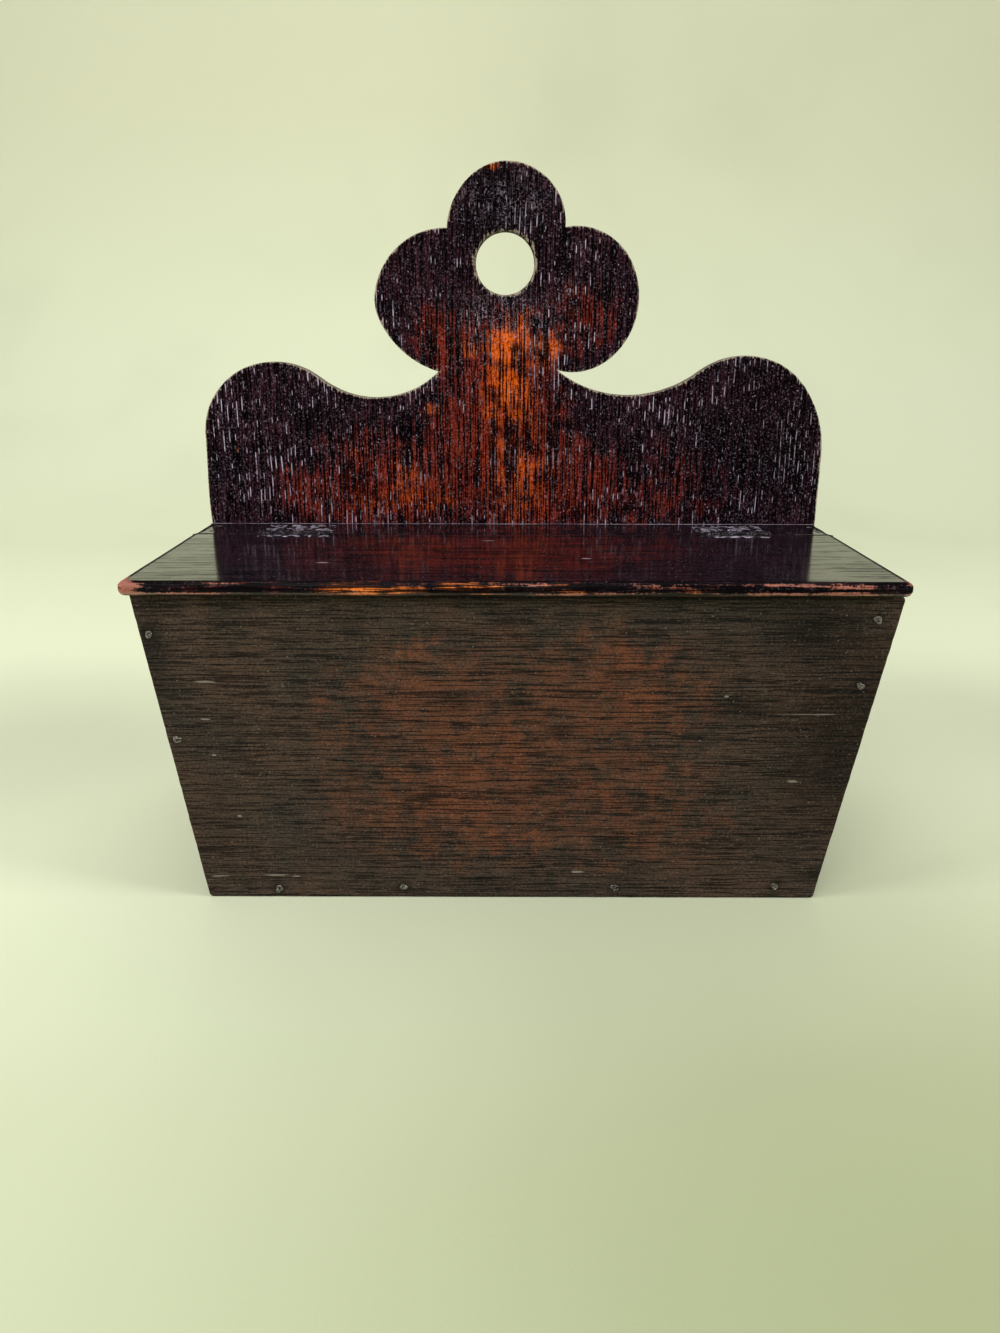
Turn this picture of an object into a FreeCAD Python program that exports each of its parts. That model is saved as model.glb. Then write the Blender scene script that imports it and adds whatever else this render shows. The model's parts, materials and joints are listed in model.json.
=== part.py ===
import FreeCAD, Part
import math
import os

# Hanging candle box in old oak: a tall shaped backboard, a canted box nailed to it,
# and a lid that swings on two iron butt hinges let into a fixed rail.
# Lengths are millimetres and angles are degrees. X is the width, Y runs from the front
# to the back, Z is up. The origin is under the middle of the box, on the surface it stands on.

# Lid and the fixed rail behind it
LID_WIDTH = 380.0
LID_DEPTH = 123.2
LID_THICKNESS = 7.2
LID_REST_GAP = 0.3
NOSE_RADIUS = 3.4
LID_CORNER_RADIUS = 4.0
RAIL_DEPTH = 36.4
RAIL_END_INSET = 0.8
JOINT_GAP = 0.3

# Box under the lid
BOX_HEIGHT = 166.2
FRONT_OVERHANG = 7.0
LEFT_OVERHANG = 3.2
RIGHT_OVERHANG = 0.7
LEFT_CANT = 24.8
RIGHT_CANT = 29.3
FRONT_THICKNESS = 8.5
SIDE_THICKNESS = 12.7
BOTTOM_THICKNESS = 10.5
BACKBOARD_THICKNESS = 9.5
FOOT_CORNER_RADIUS = 2.4
TOP_CORNER_RADIUS = 3.0
FRONT_ARRIS_RADIUS = 0.8

# Shaped top of the backboard, drawn outwards from the highest point of the crown.
# Each round stretch is the radii of its arcs, with the angles that they turn through below.
CROWN_TOP = 205.0
CROWN_SHIFT = -4.0
CROWN_RADII = {"left": (32.0, 39.0), "right": (34.5, 30.0)}
LOBE_RADII = {"left": (42.0, 26.0, 54.5), "right": (36.5, 43.0, 35.5)}
HOLLOW_RADII = {"left": (55.0,), "right": (71.5,)}
SHOULDER_RADII = {"left": (44.5, 42.0), "right": (45.5, 66.0)}
CROWN_TURNS = {"left": (38.5, 47.5), "right": (58.0, 36.0)}
NOTCH_TURN = {"left": 87.5, "right": 104.5}
LOBE_TURNS = {"left": (81.0, 36.0, 48.5), "right": (74.0, 76.5, 54.5)}
NECK_TURN = {"left": 120.5, "right": 157.5}
HOLLOW_TURNS = {"left": (81.0,), "right": (73.5,)}
SHOULDER_TURNS = {"left": (93.5, 33.0), "right": (88.0, 38.5)}

# Hole that the box hangs from, with its worn rim
HOLE_RADIUS = 17.0
HOLE_SHIFT = -4.9
HOLE_HEIGHT = 151.2
HOLE_RIM_WIDTH = 2.0
HOLE_RIM_DEPTH = 1.6

# Butt hinges, let in flush with the top of the lid and the rail
HINGE_CENTRES = {"left": -128.5, "right": 131.0}
HINGE_LENGTH = 42.0
LEAF_THICKNESS = 1.5
RAIL_LEAF_DEPTH = 30.0
LID_LEAF_DEPTH = 8.5
BARREL_RADIUS = 2.0
KNUCKLE_COUNT = 5
KNUCKLE_GAP = 0.25
PIN_RADIUS = 0.9
PIN_CLEARANCE = 0.05
BARREL_CLEARANCE = 0.3

# Forged nails and the smaller hinge tacks: a head driven flush and a tapered square shank
NAIL_HEAD_SIDES = 7
HEAD_UNEVENNESS = 0.10
HEAD_TURN_STEP = 52.0
NAIL_HEAD_RADIUS = 2.3
NAIL_HEAD_DEPTH = 0.9
NAIL_SHANK_WIDTH = 2.2
NAIL_TIP_WIDTH = 0.9
NAIL_LENGTH = 32.0
RAIL_NAIL_LENGTH = 24.0
TACK_HEAD_RADIUS = 1.7
TACK_HEAD_DEPTH = 1.0
TACK_SHANK_WIDTH = 1.2
TACK_TIP_WIDTH = 0.5
TACK_LENGTH = 6.0

# Where the nails stand: in from the canted edge and down from the box's top, or along and up from the foot
FRONT_EDGE_NAILS = {
    "left": ((4.6, 20.2), (5.0, 75.8)),
    "right": ((10.6, 12.2), (9.3, 46.1)),
}
FRONT_FOOT_NAILS = ((-124.5, 4.6), (-58.5, 6.2), (54.1, 5.9), (139.0, 7.2))
BACK_EDGE_NAILS = ((6.4, 28.2), (6.4, 82.2), (6.4, 136.2))
BACK_FOOT_NAILS = ((-96.0, 5.2), (0.0, 5.2), (96.0, 5.2))
BACK_RAIL_NAILS = (-120.0, 0.0, 120.0)
SIDE_FOOT_NAILS = (-38.0, 38.0)
SIDE_FOOT_NAIL_HEIGHT = 3.4
RAIL_NAIL_SIDE_INSET = 6.2
RAIL_NAIL_EDGE_INSET = 9.0
RAIL_TACK_INSET = 6.0
RAIL_TACK_STEP = 11.0
LID_TACK_INSET = 9.0
LID_TACK_EDGE_INSET = 3.2

# Levels and faces that follow from the sizes above
TOTAL_DEPTH = LID_DEPTH + JOINT_GAP + RAIL_DEPTH + BACKBOARD_THICKNESS
LID_FRONT = -TOTAL_DEPTH / 2
LID_BACK = LID_FRONT + LID_DEPTH
RAIL_FRONT = LID_BACK + JOINT_GAP
BACKBOARD_FRONT = RAIL_FRONT + RAIL_DEPTH
BACKBOARD_BACK = BACKBOARD_FRONT + BACKBOARD_THICKNESS
HINGE_AXIS_Y = LID_BACK + JOINT_GAP / 2
LID_UNDERSIDE = BOX_HEIGHT + LID_REST_GAP
TOP_LEVEL = LID_UNDERSIDE + LID_THICKNESS
FRONT_FACE = LID_FRONT + FRONT_OVERHANG
FRONT_BACK_FACE = FRONT_FACE + FRONT_THICKNESS
SIDES = {"left": -1, "right": 1}
TOP_EDGE = {"left": -LID_WIDTH / 2 + LEFT_OVERHANG, "right": LID_WIDTH / 2 - RIGHT_OVERHANG}
CANT = {"left": LEFT_CANT, "right": RIGHT_CANT}
OVERSHOOT = 1.0


def vector(x, y, z):
    """Short form of a point or direction."""
    return FreeCAD.Vector(x, y, z)


def edge_x(side, height, inset=0.0):
    """X of a canted side's outer face at a height, or of a line set in from it."""
    lean = CANT[side] * (1 - height / BOX_HEIGHT)
    return TOP_EDGE[side] - SIDES[side] * (lean + inset)


def side_span(side):
    """Width of a side board measured level, which its cant makes more than its thickness."""
    return SIDE_THICKNESS * math.hypot(1, CANT[side] / BOX_HEIGHT)


def prism_along_y(points, y_from, y_to):
    """Solid with an X-Z section, running from one Y to another."""
    corners = [vector(x, y_from, z) for x, z in points]
    face = Part.Face(Part.makePolygon(corners + corners[:1]))
    return face.extrude(vector(0, y_to - y_from, 0))


def box_between(low, high):
    """Upright block between two corners."""
    size = high - low
    return Part.makeBox(size.x, size.y, size.z, low)


def edges_along_y(shape, corners):
    """Edges of a shape that run front to back through the given X-Z corners."""
    found = []
    for edge in shape.Edges:
        ends = [vertex.Point for vertex in edge.Vertexes]
        for x, z in corners:
            near = [math.hypot(end.x - x, end.z - z) < 0.01 for end in ends]
            if len(ends) == 2 and all(near):
                found.append(edge)
    return found


def edges_on_plane(shape, normal_axis, level):
    """Edges of a shape that lie wholly in a plane square to an axis."""
    found = []
    for edge in shape.Edges:
        bounds = edge.BoundBox
        low = getattr(bounds, normal_axis + "Min")
        high = getattr(bounds, normal_axis + "Max")
        if abs(low - level) < 0.01 and abs(high - level) < 0.01:
            found.append(edge)
    return found


class OutlineRun:
    """Line on the backboard's front face, drawn forwards as arcs, corners and straight lengths."""

    def __init__(self, x, z, heading, hand):
        self.x = x
        self.z = z
        self.heading = math.radians(heading)
        self.hand = hand
        self.edges = []

    def point(self):
        """Present end of the run."""
        return vector(self.x, BACKBOARD_FRONT, self.z)

    def corner(self, angle):
        """Turn back on the spot, against the hand of the run."""
        self.heading -= self.hand * math.radians(angle)

    def arcs(self, radii, angles, way=1):
        """Round stretch of arcs that flow into each other."""
        for radius, angle in zip(radii, angles):
            self.arc(radius, angle, way)

    def arc(self, radius, angle, way):
        """One arc, turning with the hand of the run, or against it when way is -1."""
        start = self.point()
        turn = self.hand * way
        centre_x = self.x - turn * radius * math.sin(self.heading)
        centre_z = self.z + turn * radius * math.cos(self.heading)
        begin = self.heading
        points = []
        for share in (0.5, 1.0):
            self.heading = begin + turn * math.radians(angle) * share
            self.x = centre_x + turn * radius * math.sin(self.heading)
            self.z = centre_z - turn * radius * math.cos(self.heading)
            points.append(self.point())
        self.edges.append(Part.Arc(start, points[0], points[1]).toShape())

    def line_to(self, x, z):
        """Straight stretch to a point."""
        start = self.point()
        self.x = x
        self.z = z
        self.edges.append(Part.makeLine(start, self.point()))


def half_outline(side):
    """Edges from the crown's highest point, round the lobe and shoulder, down to the foot."""
    heading = {"left": 180.0, "right": 0.0}[side]
    run = OutlineRun(CROWN_SHIFT, TOP_LEVEL + CROWN_TOP, heading, -SIDES[side])
    run.arcs(CROWN_RADII[side], CROWN_TURNS[side])
    run.corner(NOTCH_TURN[side])
    run.arcs(LOBE_RADII[side], LOBE_TURNS[side])
    run.corner(NECK_TURN[side])
    run.arcs(HOLLOW_RADII[side], HOLLOW_TURNS[side], way=-1)
    run.arcs(SHOULDER_RADII[side], SHOULDER_TURNS[side])
    run.line_to(TOP_EDGE[side], BOX_HEIGHT)
    run.line_to(edge_x(side, 0), 0)
    return run.edges


def make_backboard():
    """Tall board with a three-lobed crown, a hanging hole and hollow shoulders."""
    foot = Part.makeLine(
        vector(edge_x("left", 0), BACKBOARD_FRONT, 0),
        vector(edge_x("right", 0), BACKBOARD_FRONT, 0),
    )
    edges = half_outline("left") + half_outline("right") + [foot]
    wire = Part.Wire(Part.__sortEdges__(edges))
    board = Part.Face(wire).extrude(vector(0, BACKBOARD_THICKNESS, 0))
    corners = [(edge_x(side, 0), 0) for side in SIDES]
    board = board.makeFillet(FOOT_CORNER_RADIUS, edges_along_y(board, corners))
    return board.cut(hanging_hole())


def hanging_hole():
    """Round hole with both rims worn to a slope."""
    centre = vector(HOLE_SHIFT, BACKBOARD_FRONT - OVERSHOOT, TOP_LEVEL + HOLE_HEIGHT)
    through = BACKBOARD_THICKNESS + 2 * OVERSHOOT
    hole = Part.makeCylinder(HOLE_RADIUS, through, centre, vector(0, 1, 0))
    slope = HOLE_RIM_WIDTH / HOLE_RIM_DEPTH
    mouth_radius = HOLE_RADIUS + HOLE_RIM_WIDTH + slope * OVERSHOOT
    length = HOLE_RIM_DEPTH + OVERSHOOT
    front_rim = Part.makeCone(mouth_radius, HOLE_RADIUS, length, centre, vector(0, 1, 0))
    back_centre = vector(HOLE_SHIFT, BACKBOARD_BACK + OVERSHOOT, TOP_LEVEL + HOLE_HEIGHT)
    back_rim = Part.makeCone(mouth_radius, HOLE_RADIUS, length, back_centre, vector(0, -1, 0))
    return hole.fuse([front_rim, back_rim]).removeSplitter()


def make_front_board():
    """Canted front, nailed over the ends of the sides and the edge of the bottom."""
    corners = [(edge_x(side, height), height) for side, height in
               (("left", 0), ("right", 0), ("right", BOX_HEIGHT), ("left", BOX_HEIGHT))]
    board = prism_along_y(corners, FRONT_FACE, FRONT_BACK_FACE)
    board = board.makeFillet(FOOT_CORNER_RADIUS, edges_along_y(board, corners[:2]))
    board = board.makeFillet(TOP_CORNER_RADIUS, edges_along_y(board, corners[2:3]))
    return board.makeFillet(FRONT_ARRIS_RADIUS, edges_on_plane(board, "Y", FRONT_FACE))


def make_side_board(side):
    """Canted end board between the front and the backboard."""
    span = SIDES[side] * side_span(side)
    foot = edge_x(side, 0)
    top = edge_x(side, BOX_HEIGHT)
    section = [(foot, 0), (top, BOX_HEIGHT), (top - span, BOX_HEIGHT), (foot - span, 0)]
    board = prism_along_y(section, FRONT_BACK_FACE, BACKBOARD_FRONT)
    return board.makeFillet(FOOT_CORNER_RADIUS, edges_along_y(board, [(foot, 0)]))


def make_bottom_board():
    """Floor of the box, its ends planed to the cant of the sides."""
    section = [(edge_x(side, height, side_span(side)), height) for side, height in
               (("left", 0), ("right", 0), ("right", BOTTOM_THICKNESS), ("left", BOTTOM_THICKNESS))]
    return prism_along_y(section, FRONT_BACK_FACE, BACKBOARD_FRONT)


def make_lid_board():
    """Lid with a rounded nose along its front and both ends."""
    board = box_between(
        vector(-LID_WIDTH / 2, LID_FRONT, LID_UNDERSIDE),
        vector(LID_WIDTH / 2, LID_BACK, TOP_LEVEL),
    )
    upright = [edge for edge in board.Edges
               if abs(edge.BoundBox.YMax - LID_FRONT) < 0.01 and edge.BoundBox.XLength < 0.01]
    board = board.makeFillet(LID_CORNER_RADIUS, upright)
    rims = edges_on_plane(board, "Z", TOP_LEVEL) + edges_on_plane(board, "Z", LID_UNDERSIDE)
    nose = [edge for edge in rims if edge.BoundBox.YMin < LID_BACK - 0.01]
    return board.makeFillet(NOSE_RADIUS, nose)


def make_rear_rail():
    """Fixed strip behind the lid, its ends moulded like the lid's."""
    end = LID_WIDTH / 2 - RAIL_END_INSET
    rail = box_between(
        vector(-end, RAIL_FRONT, BOX_HEIGHT),
        vector(end, BACKBOARD_FRONT, TOP_LEVEL),
    )
    ends = [edge for edge in rail.Edges
            if edge.BoundBox.XLength < 0.01 and edge.BoundBox.ZLength < 0.01]
    return rail.makeFillet(NOSE_RADIUS, ends)


def knuckle_spans(side):
    """Start and end X of each knuckle, in order along the hinge."""
    length = (HINGE_LENGTH - (KNUCKLE_COUNT - 1) * KNUCKLE_GAP) / KNUCKLE_COUNT
    first = hinge_ends(side)[0]
    starts = [first + index * (length + KNUCKLE_GAP) for index in range(KNUCKLE_COUNT)]
    return [(start, start + length) for start in starts]


def rod_along_x(radius, x_from, x_to):
    """Round rod on the hinge axis."""
    return Part.makeCylinder(radius, x_to - x_from, vector(x_from, HINGE_AXIS_Y, TOP_LEVEL), vector(1, 0, 0))


def leaf_flat(x_from, x_to, way, depth):
    """Flat of a leaf, from the hinge axis outwards; way is 1 towards the back, -1 to the front."""
    near, far = sorted((HINGE_AXIS_Y, HINGE_AXIS_Y + way * depth))
    return box_between(
        vector(x_from, near, TOP_LEVEL - LEAF_THICKNESS),
        vector(x_to, far, TOP_LEVEL),
    )


def hinge_ends(side):
    """X of the hinge's two ends."""
    centre = HINGE_CENTRES[side]
    return centre - HINGE_LENGTH / 2, centre + HINGE_LENGTH / 2


def make_leaf(side, way, depth, first_knuckle):
    """Hinge leaf with every other knuckle, cleared round the knuckles of its fellow."""
    start, end = hinge_ends(side)
    barrel_room = BARREL_RADIUS + BARREL_CLEARANCE
    leaf = leaf_flat(start, end, way, depth)
    leaf = leaf.cut(rod_along_x(barrel_room, start - OVERSHOOT, end + OVERSHOOT))
    for x_from, x_to in knuckle_spans(side)[first_knuckle::2]:
        tongue = leaf_flat(x_from, x_to, way, barrel_room + OVERSHOOT)
        leaf = leaf.fuse([rod_along_x(BARREL_RADIUS, x_from, x_to), tongue])
    bore = rod_along_x(PIN_RADIUS + PIN_CLEARANCE, start - OVERSHOOT, end + OVERSHOOT)
    return leaf.cut(bore).removeSplitter()


def make_pin(side):
    """Hinge pin, as long as the hinge."""
    return rod_along_x(PIN_RADIUS, *hinge_ends(side))


def hinge_recess(side, way, depth):
    """Wood cut away for a leaf and for the barrel."""
    start, end = hinge_ends(side)
    trough = rod_along_x(BARREL_RADIUS + BARREL_CLEARANCE, start, end)
    return leaf_flat(start, end, way, depth).fuse(trough)


def tapered_prism(low_points, high_points):
    """Closed solid between two like polygons on parallel planes."""
    count = len(low_points)
    faces = [Part.Face(Part.makePolygon(low_points + low_points[:1]))]
    faces.append(Part.Face(Part.makePolygon(high_points + high_points[:1])))
    for index in range(count):
        after = (index + 1) % count
        ring = [low_points[index], low_points[after], high_points[after], high_points[index]]
        faces.append(Part.Face(Part.makePolygon(ring + ring[:1])))
    solid = Part.Solid(Part.Shell(faces))
    if solid.Volume < 0:
        solid.reverse()
    return solid


def head_ring(radius, level, turn):
    """Uneven polygon round the nail's own axis, as a hammered head has."""
    points = []
    for index in range(NAIL_HEAD_SIDES):
        angle = 2 * math.pi * index / NAIL_HEAD_SIDES + math.radians(turn)
        swell = math.sin(2 * angle) * math.cos(angle + math.radians(turn))
        reach = radius * (1 + HEAD_UNEVENNESS * swell)
        points.append(vector(reach * math.cos(angle), reach * math.sin(angle), level))
    return points


def square(width, level):
    """Square round the nail's own axis."""
    half = width / 2
    return [vector(x, y, level) for x, y in ((half, half), (-half, half), (-half, -half), (half, -half))]


def flush_nail(head_radius, head_depth, shank_width, tip_width, length, turn):
    """Nail on its own axis, its head outwards along Z and level with the face it is driven into."""
    neck_radius = shank_width * math.sqrt(0.5)
    head = tapered_prism(
        head_ring(neck_radius, -head_depth, turn),
        head_ring(head_radius, 0.0, turn),
    )
    shank = tapered_prism(square(tip_width, -length), square(shank_width, -head_depth))
    return head.fuse(shank).removeSplitter()


def forged_nail(length, turn):
    """Nail that holds two boards together."""
    return flush_nail(NAIL_HEAD_RADIUS, NAIL_HEAD_DEPTH, NAIL_SHANK_WIDTH, NAIL_TIP_WIDTH, length, turn)


def tack(turn):
    """Small nail of a hinge leaf."""
    return flush_nail(TACK_HEAD_RADIUS, TACK_HEAD_DEPTH, TACK_SHANK_WIDTH, TACK_TIP_WIDTH, TACK_LENGTH, turn)


def driven(nail, place, outward):
    """Nail moved to its place with its head facing outwards."""
    turned = nail.copy()
    turn = FreeCAD.Rotation(vector(0, 0, 1), outward)
    turned.Placement = FreeCAD.Placement(place, turn)
    return turned


def nail_row(places, outward, length=NAIL_LENGTH):
    """Nails at the given places, each with its own turn of the head."""
    return [driven(forged_nail(length, HEAD_TURN_STEP * index), place, outward)
            for index, place in enumerate(places)]


def edge_places(spots, side, y):
    """Points on a face square to Y, from pairs of inset and drop."""
    return [vector(edge_x(side, BOX_HEIGHT - drop, inset), y, BOX_HEIGHT - drop) for inset, drop in spots]


def make_nails():
    """Every group of nails in the box, by node name."""
    front = vector(0, -1, 0)
    back = vector(0, 1, 0)
    up = vector(0, 0, 1)
    groups = {}
    for side, sign in SIDES.items():
        groups["front_%s_nails" % side] = nail_row(
            edge_places(FRONT_EDGE_NAILS[side], side, FRONT_FACE), front)
        groups["back_%s_nails" % side] = nail_row(
            edge_places(BACK_EDGE_NAILS, side, BACKBOARD_BACK), back)
        outward = vector(sign * BOX_HEIGHT, 0, -CANT[side]).normalize()
        groups["%s_foot_nails" % side] = nail_row(
            [vector(edge_x(side, SIDE_FOOT_NAIL_HEIGHT), y, SIDE_FOOT_NAIL_HEIGHT) for y in SIDE_FOOT_NAILS],
            outward)
        groups["rail_%s_nails" % side] = nail_row(
            [vector(edge_x(side, BOX_HEIGHT, RAIL_NAIL_SIDE_INSET), y, TOP_LEVEL)
             for y in (RAIL_FRONT + RAIL_NAIL_EDGE_INSET, BACKBOARD_FRONT - RAIL_NAIL_EDGE_INSET)],
            up, RAIL_NAIL_LENGTH)
    groups["front_foot_nails"] = nail_row([vector(x, FRONT_FACE, z) for x, z in FRONT_FOOT_NAILS], front)
    groups["back_foot_nails"] = nail_row([vector(x, BACKBOARD_BACK, z) for x, z in BACK_FOOT_NAILS], back)
    rail_middle = (BOX_HEIGHT + TOP_LEVEL) / 2
    groups["back_rail_nails"] = nail_row(
        [vector(x, BACKBOARD_BACK, rail_middle) for x in BACK_RAIL_NAILS], back, RAIL_NAIL_LENGTH)
    return groups


def make_tacks(side):
    """Tacks of one hinge: three in the rail leaf and two in the lid leaf."""
    start, end = hinge_ends(side)
    far = HINGE_AXIS_Y + RAIL_LEAF_DEPTH - RAIL_TACK_INSET
    rail_spots = ((start + RAIL_TACK_INSET, far), (HINGE_CENTRES[side], far - RAIL_TACK_STEP),
                  (end - RAIL_TACK_INSET, far))
    lid_y = HINGE_AXIS_Y - LID_LEAF_DEPTH + LID_TACK_EDGE_INSET
    lid_spots = ((start + LID_TACK_INSET, lid_y), (end - LID_TACK_INSET, lid_y))
    return {
        "%s_%s_leaf_nails" % (side, leaf): [
            driven(tack(HEAD_TURN_STEP * index), vector(x, y, TOP_LEVEL), vector(0, 0, 1))
            for index, (x, y) in enumerate(spots)]
        for leaf, spots in (("rail", rail_spots), ("lid", lid_spots))
    }


def cleared(shape, tools):
    """Shape with the room for other pieces cut out of it."""
    return shape.cut(tools).removeSplitter()


def build():
    """Every piece of the box, by node name."""
    nails = make_nails()
    boards = {
        "backboard": make_backboard(),
        "front_board": make_front_board(),
        "left_side_board": make_side_board("left"),
        "right_side_board": make_side_board("right"),
        "bottom_board": make_bottom_board(),
        "rear_rail": make_rear_rail(),
        "lid_board": make_lid_board(),
    }
    pieces = {}
    for side in SIDES:
        tacks = make_tacks(side)
        rail_nails = tacks["%s_rail_leaf_nails" % side]
        lid_nails = tacks["%s_lid_leaf_nails" % side]
        pieces["%s_hinge_rail_leaf" % side] = cleared(make_leaf(side, 1, RAIL_LEAF_DEPTH, 0), rail_nails)
        pieces["%s_hinge_lid_leaf" % side] = cleared(make_leaf(side, -1, LID_LEAF_DEPTH, 1), lid_nails)
        pieces["%s_hinge_pin" % side] = make_pin(side)
        boards["rear_rail"] = cleared(
            boards["rear_rail"], [hinge_recess(side, 1, RAIL_LEAF_DEPTH)] + rail_nails)
        boards["lid_board"] = cleared(
            boards["lid_board"], [hinge_recess(side, -1, LID_LEAF_DEPTH)] + lid_nails)
        nails.update(tacks)
    driven_nails = [nail for name, row in nails.items() if "leaf" not in name for nail in row]
    for name, board in boards.items():
        through = [nail for nail in driven_nails if nail.BoundBox.intersect(board.BoundBox)]
        pieces[name] = cleared(board, through) if through else board
    for name, row in nails.items():
        pieces[name] = Part.makeCompound(row)
    return pieces


def main():
    """Write each piece to its own file."""
    os.makedirs("parts", exist_ok=True)
    for name, shape in build().items():
        shape.exportStep("parts/%s.step" % name)
        print("%-24s solids %d  volume %.1f  valid %s" % (
            name, len(shape.Solids), shape.Volume, shape.isValid()))


main()
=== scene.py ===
"""Wood, iron and wear of an old hanging candle box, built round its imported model.

X is the width, Y runs from the front to the back and Z is up. Sizes in the classes are
millimetres, and meshes are scaled to metres when they are made.
"""
import json
import logging
import math
from collections.abc import Sequence
from dataclasses import dataclass, field, replace
from enum import Enum

import bmesh
import bpy
import numpy as np
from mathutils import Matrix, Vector
from mathutils.geometry import delaunay_2d_cdt
from mathutils.kdtree import KDTree


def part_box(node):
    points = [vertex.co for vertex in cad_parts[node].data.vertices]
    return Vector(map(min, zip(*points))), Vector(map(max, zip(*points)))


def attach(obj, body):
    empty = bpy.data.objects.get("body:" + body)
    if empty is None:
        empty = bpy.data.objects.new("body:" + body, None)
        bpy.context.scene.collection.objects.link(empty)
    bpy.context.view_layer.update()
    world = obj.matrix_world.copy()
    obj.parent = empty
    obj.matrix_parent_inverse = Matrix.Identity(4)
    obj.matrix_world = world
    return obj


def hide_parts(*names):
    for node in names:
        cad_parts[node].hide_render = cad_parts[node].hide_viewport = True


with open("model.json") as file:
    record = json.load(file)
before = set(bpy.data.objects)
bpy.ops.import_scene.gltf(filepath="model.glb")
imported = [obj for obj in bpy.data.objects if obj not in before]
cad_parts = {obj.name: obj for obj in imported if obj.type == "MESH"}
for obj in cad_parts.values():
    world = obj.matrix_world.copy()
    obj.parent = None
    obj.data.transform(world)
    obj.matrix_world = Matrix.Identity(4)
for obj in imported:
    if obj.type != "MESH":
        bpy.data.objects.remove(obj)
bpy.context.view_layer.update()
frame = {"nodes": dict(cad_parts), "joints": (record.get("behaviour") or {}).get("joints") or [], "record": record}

LOG = logging.getLogger("candle_box")
MM = 0.001
Colour = tuple[float, float, float, float]
Span = tuple[float, float, float]
BLACK: Colour = (0.0, 0.0, 0.0, 1.0)
UNMOVED: Span = (0.0, 0.0, 0.0)


def tone(red: float, green: float, blue: float) -> Colour:
    """Turn a colour as seen on a screen, 0 to 255, into a shader's linear colour.

    Args:
        red: Red share.
        green: Green share.
        blue: Blue share.

    Returns:
        Linear red, green, blue and an alpha of 1.
    """
    shares = [value / 255 for value in (red, green, blue)]
    linear = [share / 12.92 if share < 0.04045 else ((share + 0.055) / 1.055) ** 2.4 for share in shares]
    return (*linear, 1.0)


class Axis(Enum):
    """Direction of the model, with its place in a point."""

    X = 0
    Y = 1
    Z = 2


class Way(Enum):
    """Direction that a face or a nail's head looks in."""

    FRONT = (0.0, -1.0, 0.0)
    BACK = (0.0, 1.0, 0.0)
    LEFT = (-1.0, 0.0, 0.0)
    RIGHT = (1.0, 0.0, 0.0)
    UP = (0.0, 0.0, 1.0)
    DOWN = (0.0, 0.0, -1.0)


WALL = (Axis.X, Axis.Z)
PLAN = (Axis.X, Axis.Y)


@dataclass(frozen=True)
class Patch:
    """Worn or stained place: its centre, half sizes and strength."""

    across: float
    up: float
    half_width: float
    half_height: float
    strength: float = 1.0


def patch_list(*rows: Sequence[float], level: float = 0.0) -> tuple[Patch, ...]:
    """Patches from rows of their numbers, with heights counted from a level."""
    return tuple(Patch(across, level + up, *rest) for across, up, *rest in rows)


@dataclass(frozen=True)
class Signal:
    """Output of a shader node that can be used in a Python expression."""

    shop: "NodeShop"
    socket: bpy.types.NodeSocket

    def _maths(self, operation: str, *values: "Signal | float") -> "Signal":
        """Add one Math node on the values in order."""
        return self.shop.add("ShaderNodeMath", {"operation": operation}, dict(enumerate(values)))

    def __add__(self, other: "Signal | float") -> "Signal":
        """Sum of two values."""
        return self._maths("ADD", self, other)

    __radd__ = __add__

    def __sub__(self, other: "Signal | float") -> "Signal":
        """This value less another."""
        return self._maths("SUBTRACT", self, other)

    def __rsub__(self, other: float) -> "Signal":
        """A number less this value."""
        return self._maths("SUBTRACT", other, self)

    def __mul__(self, other: "Signal | float") -> "Signal":
        """Product of two values."""
        return self._maths("MULTIPLY", self, other)

    __rmul__ = __mul__

    def __truediv__(self, other: "Signal | float") -> "Signal":
        """This value divided by another."""
        return self._maths("DIVIDE", self, other)

    def __pow__(self, other: "Signal | float") -> "Signal":
        """This value to a power."""
        return self._maths("POWER", self, other)

    def __abs__(self) -> "Signal":
        """Size of the value without its sign."""
        return self._maths("ABSOLUTE", self)

    def floor(self) -> "Signal":
        """Whole number just below the value."""
        return self._maths("FLOOR", self)

    def most(self, other: "Signal | float") -> "Signal":
        """Larger of two values."""
        return self._maths("MAXIMUM", self, other)

    def least(self, other: "Signal | float") -> "Signal":
        """Smaller of two values."""
        return self._maths("MINIMUM", self, other)

    def step(self, low: float, high: float) -> "Signal":
        """Rise smoothly from 0 at low to 1 at high, or fall where low is the larger.

        Args:
            low: Value that gives 0.
            high: Value that gives 1.

        Returns:
            Value from 0 to 1.
        """
        if low > high:
            return 1 - self.step(high, low)
        inputs = {"Value": self, "From Min": low, "From Max": high}
        return self.shop.add("ShaderNodeMapRange", {"interpolation_type": "SMOOTHSTEP"}, inputs)


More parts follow.
